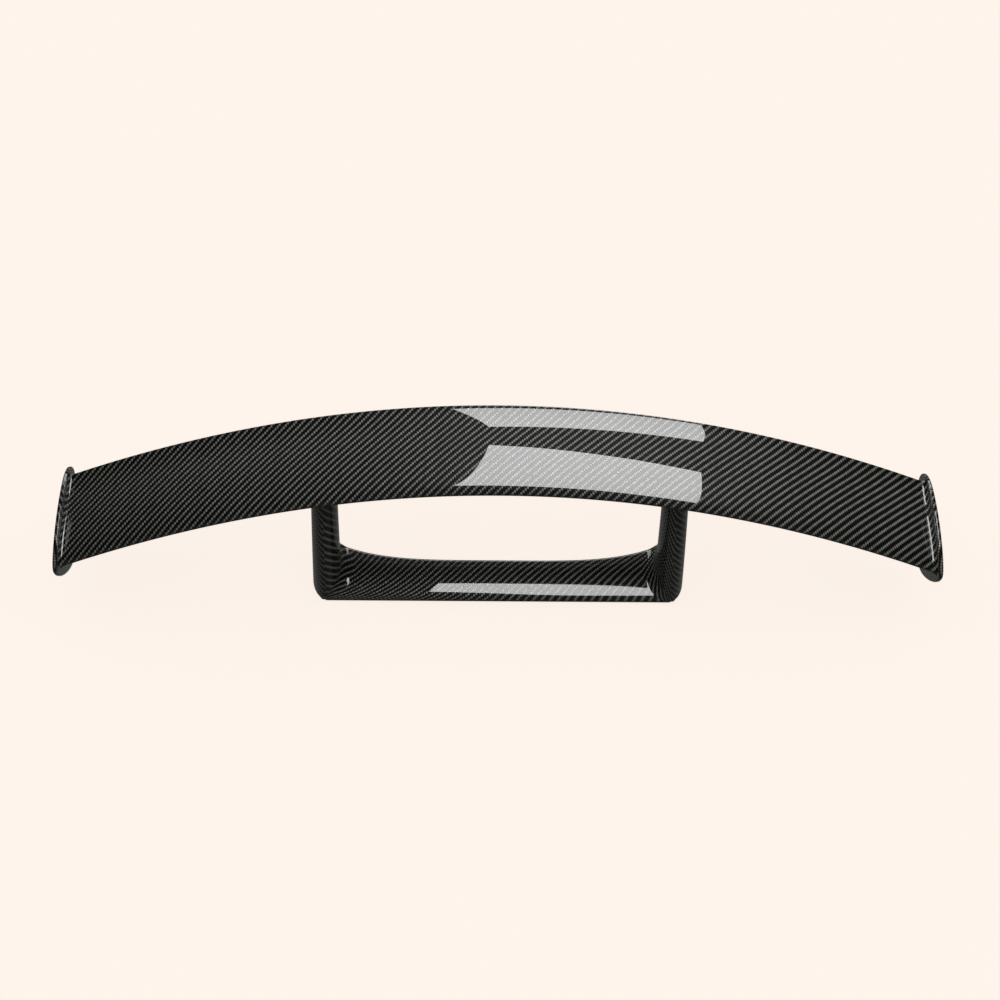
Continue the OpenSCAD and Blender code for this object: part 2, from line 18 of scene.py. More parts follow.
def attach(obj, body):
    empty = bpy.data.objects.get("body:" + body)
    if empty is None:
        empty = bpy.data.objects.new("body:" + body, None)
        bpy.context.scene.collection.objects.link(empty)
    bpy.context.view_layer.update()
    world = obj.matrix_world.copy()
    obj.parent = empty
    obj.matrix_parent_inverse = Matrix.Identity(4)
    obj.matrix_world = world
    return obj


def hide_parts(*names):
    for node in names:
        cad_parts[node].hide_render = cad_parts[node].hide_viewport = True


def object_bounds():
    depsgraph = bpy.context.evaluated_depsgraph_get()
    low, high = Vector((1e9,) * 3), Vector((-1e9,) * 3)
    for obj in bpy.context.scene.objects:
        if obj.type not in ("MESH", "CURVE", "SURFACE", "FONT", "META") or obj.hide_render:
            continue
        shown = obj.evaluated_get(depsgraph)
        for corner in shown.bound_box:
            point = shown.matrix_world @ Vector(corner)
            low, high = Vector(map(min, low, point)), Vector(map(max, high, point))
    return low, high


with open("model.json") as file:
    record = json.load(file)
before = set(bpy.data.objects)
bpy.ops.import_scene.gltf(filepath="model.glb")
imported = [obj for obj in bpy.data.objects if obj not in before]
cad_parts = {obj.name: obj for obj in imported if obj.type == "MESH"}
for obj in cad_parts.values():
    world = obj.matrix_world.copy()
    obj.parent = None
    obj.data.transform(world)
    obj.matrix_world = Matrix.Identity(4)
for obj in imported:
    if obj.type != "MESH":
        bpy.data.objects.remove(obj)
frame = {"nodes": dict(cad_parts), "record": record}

LOG = logging.getLogger("rear_wing")
MM = 0.001
ROOT = "root"
CLOTH = "cloth"
Colour = tuple[float, float, float, float]
ROOM_TINT: Colour = (0.991, 0.905, 0.831, 1)
CAD_BOX = [list(corner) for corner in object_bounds()]


class Side(Enum):
    """The two ends of the span."""

    LEFT = -1
    RIGHT = 1

    @property
    def word(self) -> str:
        """The side's name, as used in node names."""
        return self.name.lower()


# ---- Node graphs ----


class Graph:
    """Adds nodes to one shader or geometry tree."""

    def __init__(self, tree: bpy.types.NodeTree) -> None:
        """Wraps a tree."""
        self.tree = tree

    def node(
        self,
        kind: str,
        settings: Optional[Mapping[str, Any]] = None,
        inputs: Optional[Mapping[Union[str, int], Any]] = None,
    ) -> bpy.types.Node:
        """Adds a node.

        Args:
            kind: the node's type.
            settings: properties, set before anything else; "stops" fills a colour ramp.
            inputs: values or expressions by the socket's name or number.

        Returns:
            The new node.
        """
        made = self.tree.nodes.new(kind)
        for key, value in (settings or {}).items():
            if key == "stops":
                ramp = made.color_ramp.elements
                while len(ramp) < len(value):
                    ramp.new(0.5)
                for stop, (place, colour) in zip(ramp, value):
                    stop.position, stop.color = place, colour
            else:
                setattr(made, key, value)
        for key, value in (inputs or {}).items():
            self.feed(made, key, value)
        return made

    def feed(self, node: bpy.types.Node, key: Union[str, int], value: Any) -> None:
        """Links an expression to a node's socket, or sets the socket's own value.

        Args:
            node: the node that has the socket.
            key: the socket's name or number.
            value: an expression, a socket or a plain value.
        """
        if isinstance(key, int):
            socket = node.inputs[key]
        else:
            socket = next(s for s in node.inputs if s.name == key and s.enabled)
        if isinstance(value, Expr):
            self.tree.links.new(value.socket, socket)
        elif isinstance(value, bpy.types.NodeSocket):
            self.tree.links.new(value, socket)
        else:
            socket.default_value = value

    def out(self, node: bpy.types.Node, key: Union[str, int] = 0) -> "Expr":
        """A node's output as an expression.

        Args:
            node: the node.
            key: the output's name or number.

        Returns:
            The output, ready for sums.
        """
        if isinstance(key, int):
            return Expr(self, node.outputs[key])
        return Expr(self, next(s for s in node.outputs if s.name == key and s.enabled))

    def math(self, operation: str, *values: Any) -> "Expr":
        """A Math node's result for up to three values."""
        made = self.node("ShaderNodeMath", {"operation": operation}, dict(enumerate(values)))
        return self.out(made)

    def clamp(self, value: Any, low: float = 0.0, high: float = 1.0) -> "Expr":
        """The value, kept between two limits."""
        return self.math("MINIMUM", self.math("MAXIMUM", value, low), high)

    def step(self, value: Any, low: float, high: float) -> "Expr":
        """A smooth rise from 0 at low to 1 at high.

        Args:
            value: what rises.
            low: where the rise starts.
            high: where it ends.

        Returns:
            The rise, from 0 to 1.
        """
        made = self.node(
            "ShaderNodeMapRange",
            {"interpolation_type": "SMOOTHSTEP"},
            {"Value": value, "From Min": low, "From Max": high},
        )
        return self.out(made, "Result")

    def choose(self, mask: Any, on: Any, off: Any) -> "Expr":
        """on where the mask is 1, off where it is 0."""
        return off + (on - off) * mask

    def vector(self, x: Any, y: Any, z: Any = 0.0) -> "Expr":
        """A vector of three values."""
        return self.out(self.node("ShaderNodeCombineXYZ", {}, {0: x, 1: y, 2: z}))

    def parts(self, vector: Any) -> tuple["Expr", "Expr", "Expr"]:
        """A vector's three values."""
        made = self.node("ShaderNodeSeparateXYZ", {}, {0: vector})
        return self.out(made, 0), self.out(made, 1), self.out(made, 2)

    def noise(self, vector: Any, scale: float, detail: float = 2.0, rough: float = 0.5) -> "Expr":
        """Smooth noise from 0 to 1.

        Args:
            vector: where to read it.
            scale: how many patches there are to a unit.
            detail: how many finer layers are added.
            rough: how strong each finer layer is.

        Returns:
            The noise.
        """
        made = self.node(
            "ShaderNodeTexNoise",
            {"noise_dimensions": "3D"},
            {"Vector": vector, "Scale": scale, "Detail": detail, "Roughness": rough},
        )
        return self.out(made, 0)

    def blend(self, mask: Any, off: Any, on: Any) -> "Expr":
        """A colour between off and on."""
        made = self.node("ShaderNodeMix", {"data_type": "RGBA"}, {"Factor": mask, "A": off, "B": on})
        return self.out(made, "Result")


@dataclass(frozen=True)
class Expr:
    """An output socket that can be used in sums."""

    graph: Graph
    socket: bpy.types.NodeSocket

    def __add__(self, other: Any) -> "Expr":
        """self + other."""
        return self.graph.math("ADD", self, other)

    __radd__ = __add__

    def __sub__(self, other: Any) -> "Expr":
        """self - other."""
        return self.graph.math("SUBTRACT", self, other)

    def __rsub__(self, other: Any) -> "Expr":
        """other - self."""
        return self.graph.math("SUBTRACT", other, self)

    def __mul__(self, other: Any) -> "Expr":
        """self * other."""
        return self.graph.math("MULTIPLY", self, other)

    __rmul__ = __mul__

    def __truediv__(self, other: Any) -> "Expr":
        """self / other."""
        return self.graph.math("DIVIDE", self, other)

    def __rtruediv__(self, other: Any) -> "Expr":
        """other / self."""
        return self.graph.math("DIVIDE", other, self)

    def __neg__(self) -> "Expr":
        """-self."""
        return self.graph.math("MULTIPLY", self, -1.0)

    def __pow__(self, other: Any) -> "Expr":
        """self ** other."""
        return self.graph.math("POWER", self, other)


class NodeMath:
    """Functions of node expressions, for a rule that is also worked out in numbers."""

    def __init__(self, graph: Graph) -> None:
        """Works in one graph."""
        self.graph = graph

    def sin(self, a: Any) -> Expr:
        """Sine."""
        return self.graph.math("SINE", a)

    def cos(self, a: Any) -> Expr:
        """Cosine."""
        return self.graph.math("COSINE", a)

    def sqrt(self, a: Any) -> Expr:
        """Square root."""
        return self.graph.math("SQRT", a)

    def maximum(self, a: Any, b: Any) -> Expr:
        """The larger one."""
        return self.graph.math("MAXIMUM", a, b)

    def minimum(self, a: Any, b: Any) -> Expr:
        """The smaller one."""
        return self.graph.math("MINIMUM", a, b)

    def absolute(self, a: Any) -> Expr:
        """Size without sign."""
        return self.graph.math("ABSOLUTE", a)

    def sign(self, a: Any) -> Expr:
        """-1, 0 or 1."""
        return self.graph.math("SIGN", a)


class NumberMath:
    """The same functions as NodeMath, in plain numbers."""

    sin = staticmethod(np.sin)
    cos = staticmethod(np.cos)
    maximum = staticmethod(np.maximum)
    minimum = staticmethod(np.minimum)
    absolute = staticmethod(np.abs)
    sign = staticmethod(np.sign)

    @staticmethod
    def sqrt(a: Any) -> Any:
        """Square root, safe for a tiny negative."""
        return np.sqrt(np.maximum(a, 0))


# ---- Finishes ----

MADE: dict[str, bpy.types.Material] = {}


@dataclass(frozen=True)
class Finish:
    """A material; each kind adds its own nodes."""

    name: str

    def build(self) -> bpy.types.Material:
        """Makes the material, or returns the one that was made before.

        Returns:
            The material.
        """
        if self.name in MADE:
            return MADE[self.name]
        material = MADE[self.name] = bpy.data.materials.new(self.name)
        material.use_nodes = True
        graph = Graph(material.node_tree)
        self.dress(graph, material.node_tree.nodes["Principled BSDF"])
        return material

    def dress(self, graph: Graph, shader: bpy.types.Node) -> None:
        """Adds what feeds the shader."""
        raise NotImplementedError

    @staticmethod
    def bump(graph: Graph, shader: bpy.types.Node, height: Expr, depth: float, strength: float = 1.0) -> None:
        """Feeds a relief to the shader's normal.

        Args:
            graph: the material's nodes.
            shader: the shader to feed.
            height: the relief, from 0 to 1.
            depth: how deep 1 is, in metres.
            strength: share of the relief that shows.
        """
        sizes = {"Height": height, "Distance": depth, "Strength": strength}
        graph.feed(shader, "Normal", graph.out(graph.node("ShaderNodeBump", {}, sizes)))

    @staticmethod
    def place(graph: Graph) -> Expr:
        """Position on the piece, in metres."""
        return graph.out(graph.node("ShaderNodeTexCoord"), "Object")


@dataclass(frozen=True)
class Weave(Finish):
    """Two-by-two twill carbon cloth, bare or under clear coat.

    Reads the cloth map of the piece, in metres, or a plane of its own position. Light is painted into the
    tows' colour: the warp tows carry a painted sheen, lightest on their crowns, and the weft tows are left
    nearly black, as if in shade.
    """

    tow: float = 2.9 * MM
    # The first colour below is the painted sheen on the warp tows' crowns; the second is the near-black tow
    # colour under it.
    lit: Colour = (0.200, 0.202, 0.183, 1)
    dim: Colour = (0.0015, 0.0015, 0.0017, 1)
    gap: Colour = (0.001, 0.001, 0.001, 1)
    metal: float = 0.05
    shine: float = 0.05
    rough: float = 0.36
    coat: float = 1.0
    coat_rough: float = 0.012
    coat_ior: float = 1.5
    relief: float = 0.16 * MM
    drift: float = 1.1 * MM
    fibres: float = 4200.0
    fibre_runs: float = 160.0
    on_cloth: bool = True

    def dress(self, graph: Graph, shader: bpy.types.Node) -> None:
        """Lays the tows over and under each other, with fibres along each.

        Args:
            graph: the material's nodes.
            shader: the shader to feed.
        """
        if self.on_cloth:
            cloth = graph.out(graph.node("ShaderNodeUVMap", {"uv_map": CLOTH}))
            u, v, _ = graph.parts(cloth)
        else:
            x, y, z = graph.parts(self.place(graph))
            cloth = graph.vector(y, z, x)
            u, v = y, z + x * 0.7
        drift = graph.noise(cloth, 14.0, 1.0) - 0.5
        sway = graph.noise(cloth, 9.0, 1.0) - 0.5
        a = (u + drift * self.drift) / self.tow
        b = (v + sway * self.drift) / self.tow
        column, row = graph.math("FLOOR", a), graph.math("FLOOR", b)
        across_warp, across_weft = a - column, b - row
        turn = graph.math("FLOORED_MODULO", column - row, 4.0)
        warp = graph.math("LESS_THAN", turn, 1.5)
        along_warp = (1.0 - turn + across_weft) * 0.5
        along_weft = (turn - 2.0 + across_warp) * 0.5
        across = graph.choose(warp, across_warp, across_weft)
        along = graph.choose(warp, along_warp, along_weft)
        rim = graph.math("ABSOLUTE", across * 2.0 - 1.0)
        dome = graph.math("SQRT", graph.clamp(1.0 - rim * rim, 0.0, 1.0))
        arch = graph.math("SINE", graph.clamp(along) * math.pi)
        height = dome * (0.35 + 0.65 * arch)
        side_by_side = graph.choose(warp, u, v) * self.fibres
        lengthways = graph.choose(warp, v, u) * self.fibre_runs
        fine = graph.vector(side_by_side, lengthways, warp * 5.0)
        fibre = graph.noise(fine, 1.0, 2.0, 0.6)
        tow_tag = graph.vector(graph.choose(warp, column, row), warp * 9.0, 0.5)
        white = graph.node("ShaderNodeTexWhiteNoise", {"noise_dimensions": "2D"}, {"Vector": tow_tag})
        lot = graph.out(white)
        # Painted sheen: each tow is painted lighter along its crown and towards the middle of each float, in
        # place of the highlight a lamp leaves on it.
        cover = graph.step(dome, 0.05, 0.75) * graph.step(arch, -0.05, 0.55)
        glow = cover * (0.12 + 0.88 * arch * arch) * (0.72 + 0.56 * fibre) * (0.84 + 0.32 * lot)
        # Weft tows get only 1.5 % of the painted sheen, so the warp tows look lit and the weft tows shaded.
        weft_sheen_share = (1.0 - warp) * 0.015 + warp
        colour = graph.blend(graph.clamp(glow * weft_sheen_share), self.dim, self.lit)
        colour = graph.blend(graph.step(cover, 0.0, 0.35), self.gap, colour)
        graph.feed(shader, "Base Color", colour)
        graph.feed(shader, "Metallic", self.metal)
        graph.feed(shader, "Specular IOR Level", self.shine)
        graph.feed(shader, "Roughness", self.rough - 0.08 + fibre * 0.16)
        graph.feed(shader, "Coat Weight", self.coat)
        graph.feed(shader, "Coat Roughness", self.coat_rough)
        graph.feed(shader, "Coat IOR", self.coat_ior)
        self.bump(graph, shader, height + fibre * 0.10, self.relief)


@dataclass(frozen=True)
class Rubber(Finish):
    """Moulded closed-cell rubber."""

    fresh: Colour = (0.018, 0.018, 0.019, 1)
    worn: Colour = (0.034, 0.034, 0.035, 1)

    def dress(self, graph: Graph, shader: bpy.types.Node) -> None:
        """Fine pores and dull patches.

        Args:
            graph: the material's nodes.
            shader: the shader to feed.
        """
        place = self.place(graph)
        pores = graph.noise(place, 1800.0, 3.0, 0.6)
        wear = graph.noise(place, 60.0, 3.0)
        graph.feed(shader, "Base Color", graph.blend(wear, self.fresh, self.worn))
        graph.feed(shader, "Roughness", 0.62 + wear * 0.22)
        self.bump(graph, shader, pores, 0.15 * MM, 0.5)


@dataclass(frozen=True)
class Foam(Finish):
    """Machined rigid foam."""

    darker: Colour = (0.70, 0.56, 0.34, 1)
    paler: Colour = (0.83, 0.71, 0.49, 1)
    cells: float = 900.0

    def dress(self, graph: Graph, shader: bpy.types.Node) -> None:
        """Open cells and a little tint.

        Args:
            graph: the material's nodes.
            shader: the shader to feed.
        """
        place = self.place(graph)
        spread = {"Vector": place, "Scale": self.cells}
        cells = graph.out(graph.node("ShaderNodeTexVoronoi", {"feature": "F1"}, spread))
        tint = graph.noise(place, 25.0, 3.0)
        graph.feed(shader, "Base Color", graph.blend(tint, self.darker, self.paler))
        graph.feed(shader, "Roughness", 0.88)
        self.bump(graph, shader, cells, 0.6 * MM, 0.7)


@dataclass(frozen=True)
class Metal(Finish):
    """Machined or turned metal, with fine tool marks."""

    tint: Colour = (0.62, 0.63, 0.65, 1)
    rough: float = 0.30
    marks: float = 2600.0

    def dress(self, graph: Graph, shader: bpy.types.Node) -> None:
        """Tool marks and smudges.

        Args:
            graph: the material's nodes.
            shader: the shader to feed.
        """
        x, y, z = graph.parts(self.place(graph))
        turned = graph.vector(x * self.marks, y * self.marks * 0.06, z * self.marks)
        marks = graph.noise(turned, 1.0, 2.0)
        smudge = graph.noise(self.place(graph), 90.0, 4.0, 0.6)
        dark = tuple(0.8 * c for c in self.tint[:3]) + (1,)
        graph.feed(shader, "Base Color", graph.blend(smudge, dark, self.tint))
        graph.feed(shader, "Metallic", 1.0)
        graph.feed(shader, "Roughness", self.rough + marks * 0.10 + smudge * 0.12)
        self.bump(graph, shader, marks, 0.03 * MM, 0.6)


@dataclass(frozen=True)
class Backdrop(Finish):
    """The plain pale floor."""

    tint: Colour = (0.985, 0.985, 0.985, 1)
    glow: float = 0.905

    def dress(self, graph: Graph, shader: bpy.types.Node) -> None:
        """A matt sheet with hardly any grain.

        Args:
            graph: the material's nodes.
            shader: the shader to feed.
        """
        grain = graph.noise(self.place(graph), 3.0, 2.0)
        pale = tuple(0.985 * c for c in self.tint[:3]) + (1,)
        graph.feed(shader, "Base Color", graph.blend(grain, pale, self.tint))
        graph.feed(shader, "Roughness", 0.95)
        graph.feed(shader, "Specular IOR Level", 0.05)
        graph.feed(shader, "Emission Color", ROOM_TINT)
        graph.feed(shader, "Emission Strength", self.glow)


BLADE_CLOTH = Weave("blade_twill")
PLATE_CLOTH = Weave("plate_twill")
# The pedestal's tows get a stronger painted sheen than the blade's, so the pedestal reads as more brightly
# lit.
PEDESTAL_CLOTH = Weave("pedestal_twill", tow=2.55 * MM, lit=(0.32, 0.322, 0.29, 1))
BARE_CLOTH = Weave("bare_twill", coat=0.0, rough=0.5, on_cloth=False)
FINISHES: dict[str, Finish] = {
    "blade_carbon": BLADE_CLOTH,
    "plate_carbon": PLATE_CLOTH,
    "pedestal_carbon": PEDESTAL_CLOTH,
    "inner_carbon": BARE_CLOTH,
    "foam": Foam("rigid_foam"),
    "alloy": Metal("milled_alloy"),
    "steel": Metal("black_steel", tint=(0.20, 0.20, 0.21, 1), rough=0.28),
    "insert_steel": Metal("turned_steel", tint=(0.50, 0.50, 0.51, 1), rough=0.24),
    "rubber": Rubber("soft_rubber"),
}


# ---- Meshes ----


def new_object(name: str, mesh: bpy.types.Mesh, finish: Optional[Finish] = None) -> bpy.types.Object:
    """Puts a mesh in the scene.

    Args:
        name: name of the object.
        mesh: its mesh.
        finish: its finish, if it has one yet.

    Returns:
        The new object.
    """
    made = bpy.data.objects.new(name, mesh)
    bpy.context.scene.collection.objects.link(made)
    if finish is not None:
        mesh.materials.clear()
        mesh.materials.append(finish.build())
    return made


@dataclass
class Patchwork:
    """A mesh put together from grids of points, each with its own cloth map."""

    points: list[tuple[float, float, float]] = field(default_factory=list)
    faces: list[tuple[int, ...]] = field(default_factory=list)
    cloth: list[tuple[float, float]] = field(default_factory=list)

    def grid(self, points: np.ndarray, cloth: np.ndarray, flip: bool = False) -> None:
        """Adds a grid.

        Args:
            points: rows by columns by 3, in metres.
            cloth: rows by columns by 2, in metres.
            flip: turns the faces round.
        """
        rows, columns = points.shape[:2]
        start = len(self.points)
        self.points += [tuple(p) for p in points.reshape(-1, 3)]
        flat = cloth.reshape(-1, 2)
        for i in range(rows - 1):
            for j in range(columns - 1):
                at = i * columns + j
                corners = [at, at + 1, at + columns + 1, at + columns]
                if flip:
                    corners.reverse()
                self.faces.append(tuple(start + c for c in corners))
                self.cloth += [tuple(flat[c]) for c in corners]

    def cap(self, ring: np.ndarray, cloth: np.ndarray) -> None:
        """Adds one face.

        Args:
            ring: the points round it, in metres, the last beside the first.
            cloth: each point's place on the cloth, in metres.
        """
        start = len(self.points)
        self.points += [tuple(p) for p in ring]
        self.faces.append(tuple(range(start, start + len(ring))))
        self.cloth += [tuple(c) for c in cloth]

    def mesh(self, name: str, weld: float = 0.01 * MM) -> bpy.types.Mesh:
        """Closes the seams and turns the faces outwards.

        Args:
            name: name of the mesh.
            weld: points nearer than this become one, in metres.

        Returns:
            The finished mesh.
        """
        made = bpy.data.meshes.new(name)
        made.from_pydata(self.points, [], self.faces)
        layer = made.uv_layers.new(name=CLOTH)
        layer.data.foreach_set("uv", np.array(self.cloth, np.float32).ravel())
        tidy = bmesh.new()
        tidy.from_mesh(made)
        bmesh.ops.remove_doubles(tidy, verts=tidy.verts, dist=weld)
        bmesh.ops.dissolve_degenerate(tidy, edges=tidy.edges, dist=weld)
        bmesh.ops.recalc_face_normals(tidy, faces=tidy.faces)
        tidy.to_mesh(made)
        tidy.free()
        return made


def smooth(mesh: bpy.types.Mesh, angle: float = 40.0) -> None:
    """Gives smooth shading.

    Args:
        mesh: the mesh to shade.
        angle: edges that bend by more than this, in degrees, stay sharp.
    """
    mesh.shade_smooth()
    tidy = bmesh.new()
    tidy.from_mesh(mesh)
    limit = math.radians(angle)
    for edge in tidy.edges:
        edge.smooth = len(edge.link_faces) == 2 and edge.calc_face_angle(0.0) < limit
    tidy.to_mesh(mesh)
    tidy.free()


def drill(piece: bpy.types.Object, holes: Sequence[tuple[Vector, Vector, float, float]]) -> None:
    """Cuts round holes.

    Args:
        piece: the piece to cut.
        holes: for each hole its mouth, its direction inwards, its radius and its depth, in metres.
    """
    tool, lift, sides = bmesh.new(), 0.5 * MM, 48
    for mouth, inwards, radius, depth in holes:
        turn = inwards.to_track_quat("Z", "Y").to_matrix().to_4x4()
        place = Matrix.Translation(mouth + inwards.normalized() * (depth - lift) / 2) @ turn
        bmesh.ops.create_cone(
            tool,
            cap_ends=True,
            segments=sides,
            radius1=radius,
            radius2=radius,
            depth=depth + lift,
            matrix=place,
        )
    mesh = bpy.data.meshes.new("drill")
    tool.to_mesh(mesh)
    tool.free()
    cutter = new_object("drill", mesh)
    modifier = piece.modifiers.new("drill", "BOOLEAN")
    modifier.operation, modifier.solver, modifier.object = "DIFFERENCE", "EXACT", cutter
    bake(piece)
    bpy.data.objects.remove(cutter)


def bake(piece: bpy.types.Object) -> None:
    """Turns a piece's modifiers into plain mesh and removes them.

    Args:
        piece: the piece; it gets a new mesh.
    """
    bpy.context.view_layer.update()
    depsgraph = bpy.context.evaluated_depsgraph_get()
    made = bpy.data.meshes.new_from_object(
        piece.evaluated_get(depsgraph), preserve_all_data_layers=True, depsgraph=depsgraph
    )
    piece.modifiers.clear()
    old, piece.data = piece.data, made
    bpy.data.meshes.remove(old)


def paint(piece: bpy.types.Object, finish: Finish) -> None:
    """Gives the whole piece one finish.

    Args:
        piece: the piece.
        finish: its finish.
    """
    piece.data.materials.clear()
    piece.data.materials.append(finish.build())
    piece.data.polygons.foreach_set("material_index", np.zeros(len(piece.data.polygons), np.int32))


class Grower:
    """Builds one geometry tree with named sizes and grows a piece from it."""

    def __init__(self, name: str, sizes: Mapping[str, float]) -> None:
        """Starts a tree.

        Args:
            name: name of the tree.
            sizes: named inputs and their values.
        """
        self.tree = bpy.data.node_groups.new(name, "GeometryNodeTree")
        self.graph = Graph(self.tree)
        self.sizes = dict(sizes)
        sockets = self.tree.interface
        sockets.new_socket("Geometry", in_out="INPUT", socket_type="NodeSocketGeometry")
        sockets.new_socket("Geometry", in_out="OUTPUT", socket_type="NodeSocketGeometry")
        self.keys = {
            size: sockets.new_socket(size, in_out="INPUT", socket_type="NodeSocketFloat").identifier
            for size in sizes
        }
        self.entry = self.graph.node("NodeGroupInput")
        self.exit = self.graph.node("NodeGroupOutput")

    def size(self, name: str) -> Expr:
        """A named input."""
        return self.graph.out(self.entry, name)

    def close(self, geometry: bpy.types.NodeSocket, finish: Finish) -> None:
        """Ends the tree with real geometry in its finish.

        Args:
            geometry: what the tree has made.
            finish: its finish.
        """
        real = self.graph.node("GeometryNodeRealizeInstances", {}, {0: geometry})
        set_material = self.graph.node("GeometryNodeSetMaterial", {}, {"Geometry": real.outputs[0]})
        set_material.inputs["Material"].default_value = finish.build()
        self.tree.links.new(set_material.outputs[0], self.exit.inputs[0])

    def grow(self, name: str, finish: Finish, seeds: Sequence[Vector] = ()) -> bpy.types.Object:
        """Makes the piece as a plain mesh.

        Args:
            name: name of the piece.
            finish: its finish.
            seeds: loose points that the tree starts from, if it starts from any.

        Returns:
            The piece, without its modifier.
        """
        start = bpy.data.meshes.new(name)
        start.from_pydata(seeds, [], [])
        piece = new_object(name, start)
        modifier = piece.modifiers.new("grow", "NODES")
        modifier.node_group = self.tree
        for size, key in self.keys.items():
            modifier[key] = float(self.sizes[size])
        bake(piece)
        piece.data.name = name
        paint(piece, finish)
        return piece


def show(piece: bpy.types.Object, slot: str, *nodes: str) -> None:
    """Puts a finished piece under the root body, hides the CAD nodes it stands for and reports it.

    Args:
        piece: the piece.
        slot: not used.
        nodes: the CAD nodes it stands for.
    """
    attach(piece, ROOT)
    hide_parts(*nodes)
    LOG.info("%s: %d faces, stands for %s", piece.name, len(piece.data.polygons), ", ".join(nodes))


# ---- Blade ----

# Factors of the thickness of a plain four-digit section, from the root of the share to its fourth power.
THICKNESS_RULE = (0.2969, 0.1260, 0.3516, 0.2843, 0.1036)


@dataclass
class Blade:
    """The arched blade and the fillets at its tips, in metres."""

    half_span: float = 602 * MM
    depth: float = 137 * MM
    thickness: float = 17 * MM
    trailing: float = 3 * MM
    incline: float = 13.5
    kick: float = 8.6 * MM
    kick_start: float = 0.66
    arch: float = 88 * MM
    sweep: float = 57 * MM
    height: float = 186 * MM
    front: float = -15 * MM
    fillet: float = 8 * MM
    ripple: float = 0.10 * MM
    overrun: float = 1 * MM
    weld: float = 0.02 * MM
    rim_share: float = 0.05
    span_steps: int = 220
    loop_steps: int = 128

    @property
    def last_share(self) -> float:
        """Share of the depth where the rear edge's round starts."""
        return 1 - self.trailing / 2 / self.depth

    def half_thick(self, ops: Any, s: Any) -> Any:
        """Half the section's thickness at a share of the depth.

        Args:
            ops: numpy, or node functions.
            s: share of the depth.

        Returns:
            Half the thickness, in metres.
        """
        a, b, c, d, e = THICKNESS_RULE
        form = a * ops.sqrt(s) - b * s - c * s * s + d * s * s * s - e * s * s * s * s
        return 5 * self.thickness * form + self.trailing / 2 * s

    def mean_line(self, ops: Any, s: Any) -> Any:
        """Height of the section's mean line at a share of the depth."""
        rise = ops.maximum((s - self.kick_start) / (1 - self.kick_start), 0.0)
        return s * (self.depth * math.tan(math.radians(self.incline))) + rise * rise * rise * self.kick

    def loop(self, ops: Any, v: Any) -> tuple[Any, Any, Any, Any]:
        """The section's outline, from the rear edge below (-1) round the nose (0) to the rear edge above (1).

        Args:
            ops: numpy, or node functions.
            v: place on the outline.

        Returns:
            y and z in the section, the share of the depth, and the turn round the rear edge.
        """
        size, side = ops.absolute(v), ops.sign(v)
        main = ops.minimum(size / (1 - self.rim_share), 1.0)
        s = (1 - ops.cos(main * math.pi)) * (self.last_share / 2)
        turn = ops.maximum((size - (1 - self.rim_share)) / self.rim_share, 0.0) * (math.pi / 2)
        back = ops.sin(turn) * (self.trailing / 2)
        y = s * self.depth + back
        z = self.mean_line(ops, s) + back * 0.6 + side * self.half_thick(ops, s) * ops.cos(turn)
        return y, z, s, turn

    def cloth_rule(self, side: int) -> list[float]:
        """Fits the surface's length from the nose.

        Args:
            side: 1 above, -1 below.

        Returns:
            Factors of the first to eighth power of the share's root.
        """
        numbers = NumberMath()
        v = np.linspace(0, side * (1 - self.rim_share), 4001)
        y, z, s, _ = self.loop(numbers, v)
        length = np.concatenate([[0], np.cumsum(np.hypot(np.diff(y), np.diff(z)))])
        basis = np.stack([np.sqrt(s) ** k for k in range(1, 9)], axis=1)
        return list(np.linalg.lstsq(basis, length, rcond=None)[0])

    def cloth_length(self, ops: Any, graph: Graph, v: Any, s: Any, turn: Any) -> Any:
        """Works out the length along the surface from the nose.

        Args:
            ops: node functions.
            graph: the tree that they add to.
            v: place on the outline.
            s: share of the depth.
            turn: turn round the rear edge.

        Returns:
            The length in metres, negative below.
        """
        root = ops.sqrt(s)
        sums = []
        for side in (1, -1):
            total: Any = 0.0
            for factor in reversed(self.cloth_rule(side)):
                total = (total + factor) * root
            sums.append(total)
        above = graph.math("GREATER_THAN", v, 0.0)
        return graph.choose(above, sums[0], -sums[1]) + ops.sign(v) * turn * (self.trailing / 2)

    def place(self, x: Any, y: Any, z: Any) -> tuple[Any, Any, Any]:
        """Moves a point of the section to its place in the span."""
        bow = x * x * (1 / self.half_span**2)
        return x, y + self.front - bow * self.sweep, z + self.height - bow * self.arch

    def span_length(self, x: Any) -> Any:
        """Length along the arch from the middle."""
        bend = 4 * (self.arch**2 + self.sweep**2) / self.half_span**4
        return x + x * x * x * (bend / 6)

    def tip_loop(self, v: np.ndarray, x: float, out: float) -> np.ndarray:
        """Offsets the outline.

        Args:
            v: places on the outline.
            x: place in the span, in metres.
            out: distance outwards from the surface, in metres.

        Returns:
            A row of points, in metres.
        """
        numbers, near = NumberMath(), 1e-4
        y, z, _, _ = self.loop(numbers, v)
        y2, z2, _, _ = self.loop(numbers, np.clip(v + near, -1, 1))
        y1, z1, _, _ = self.loop(numbers, np.clip(v - near, -1, 1))
        size = np.hypot(y2 - y1, z2 - z1)
        ny, nz = -(z2 - z1) / size, (y2 - y1) / size
        px, py, pz = self.place(np.full_like(v, x), y + ny * out, z + nz * out)
        return np.stack([px, py, pz], axis=-1)

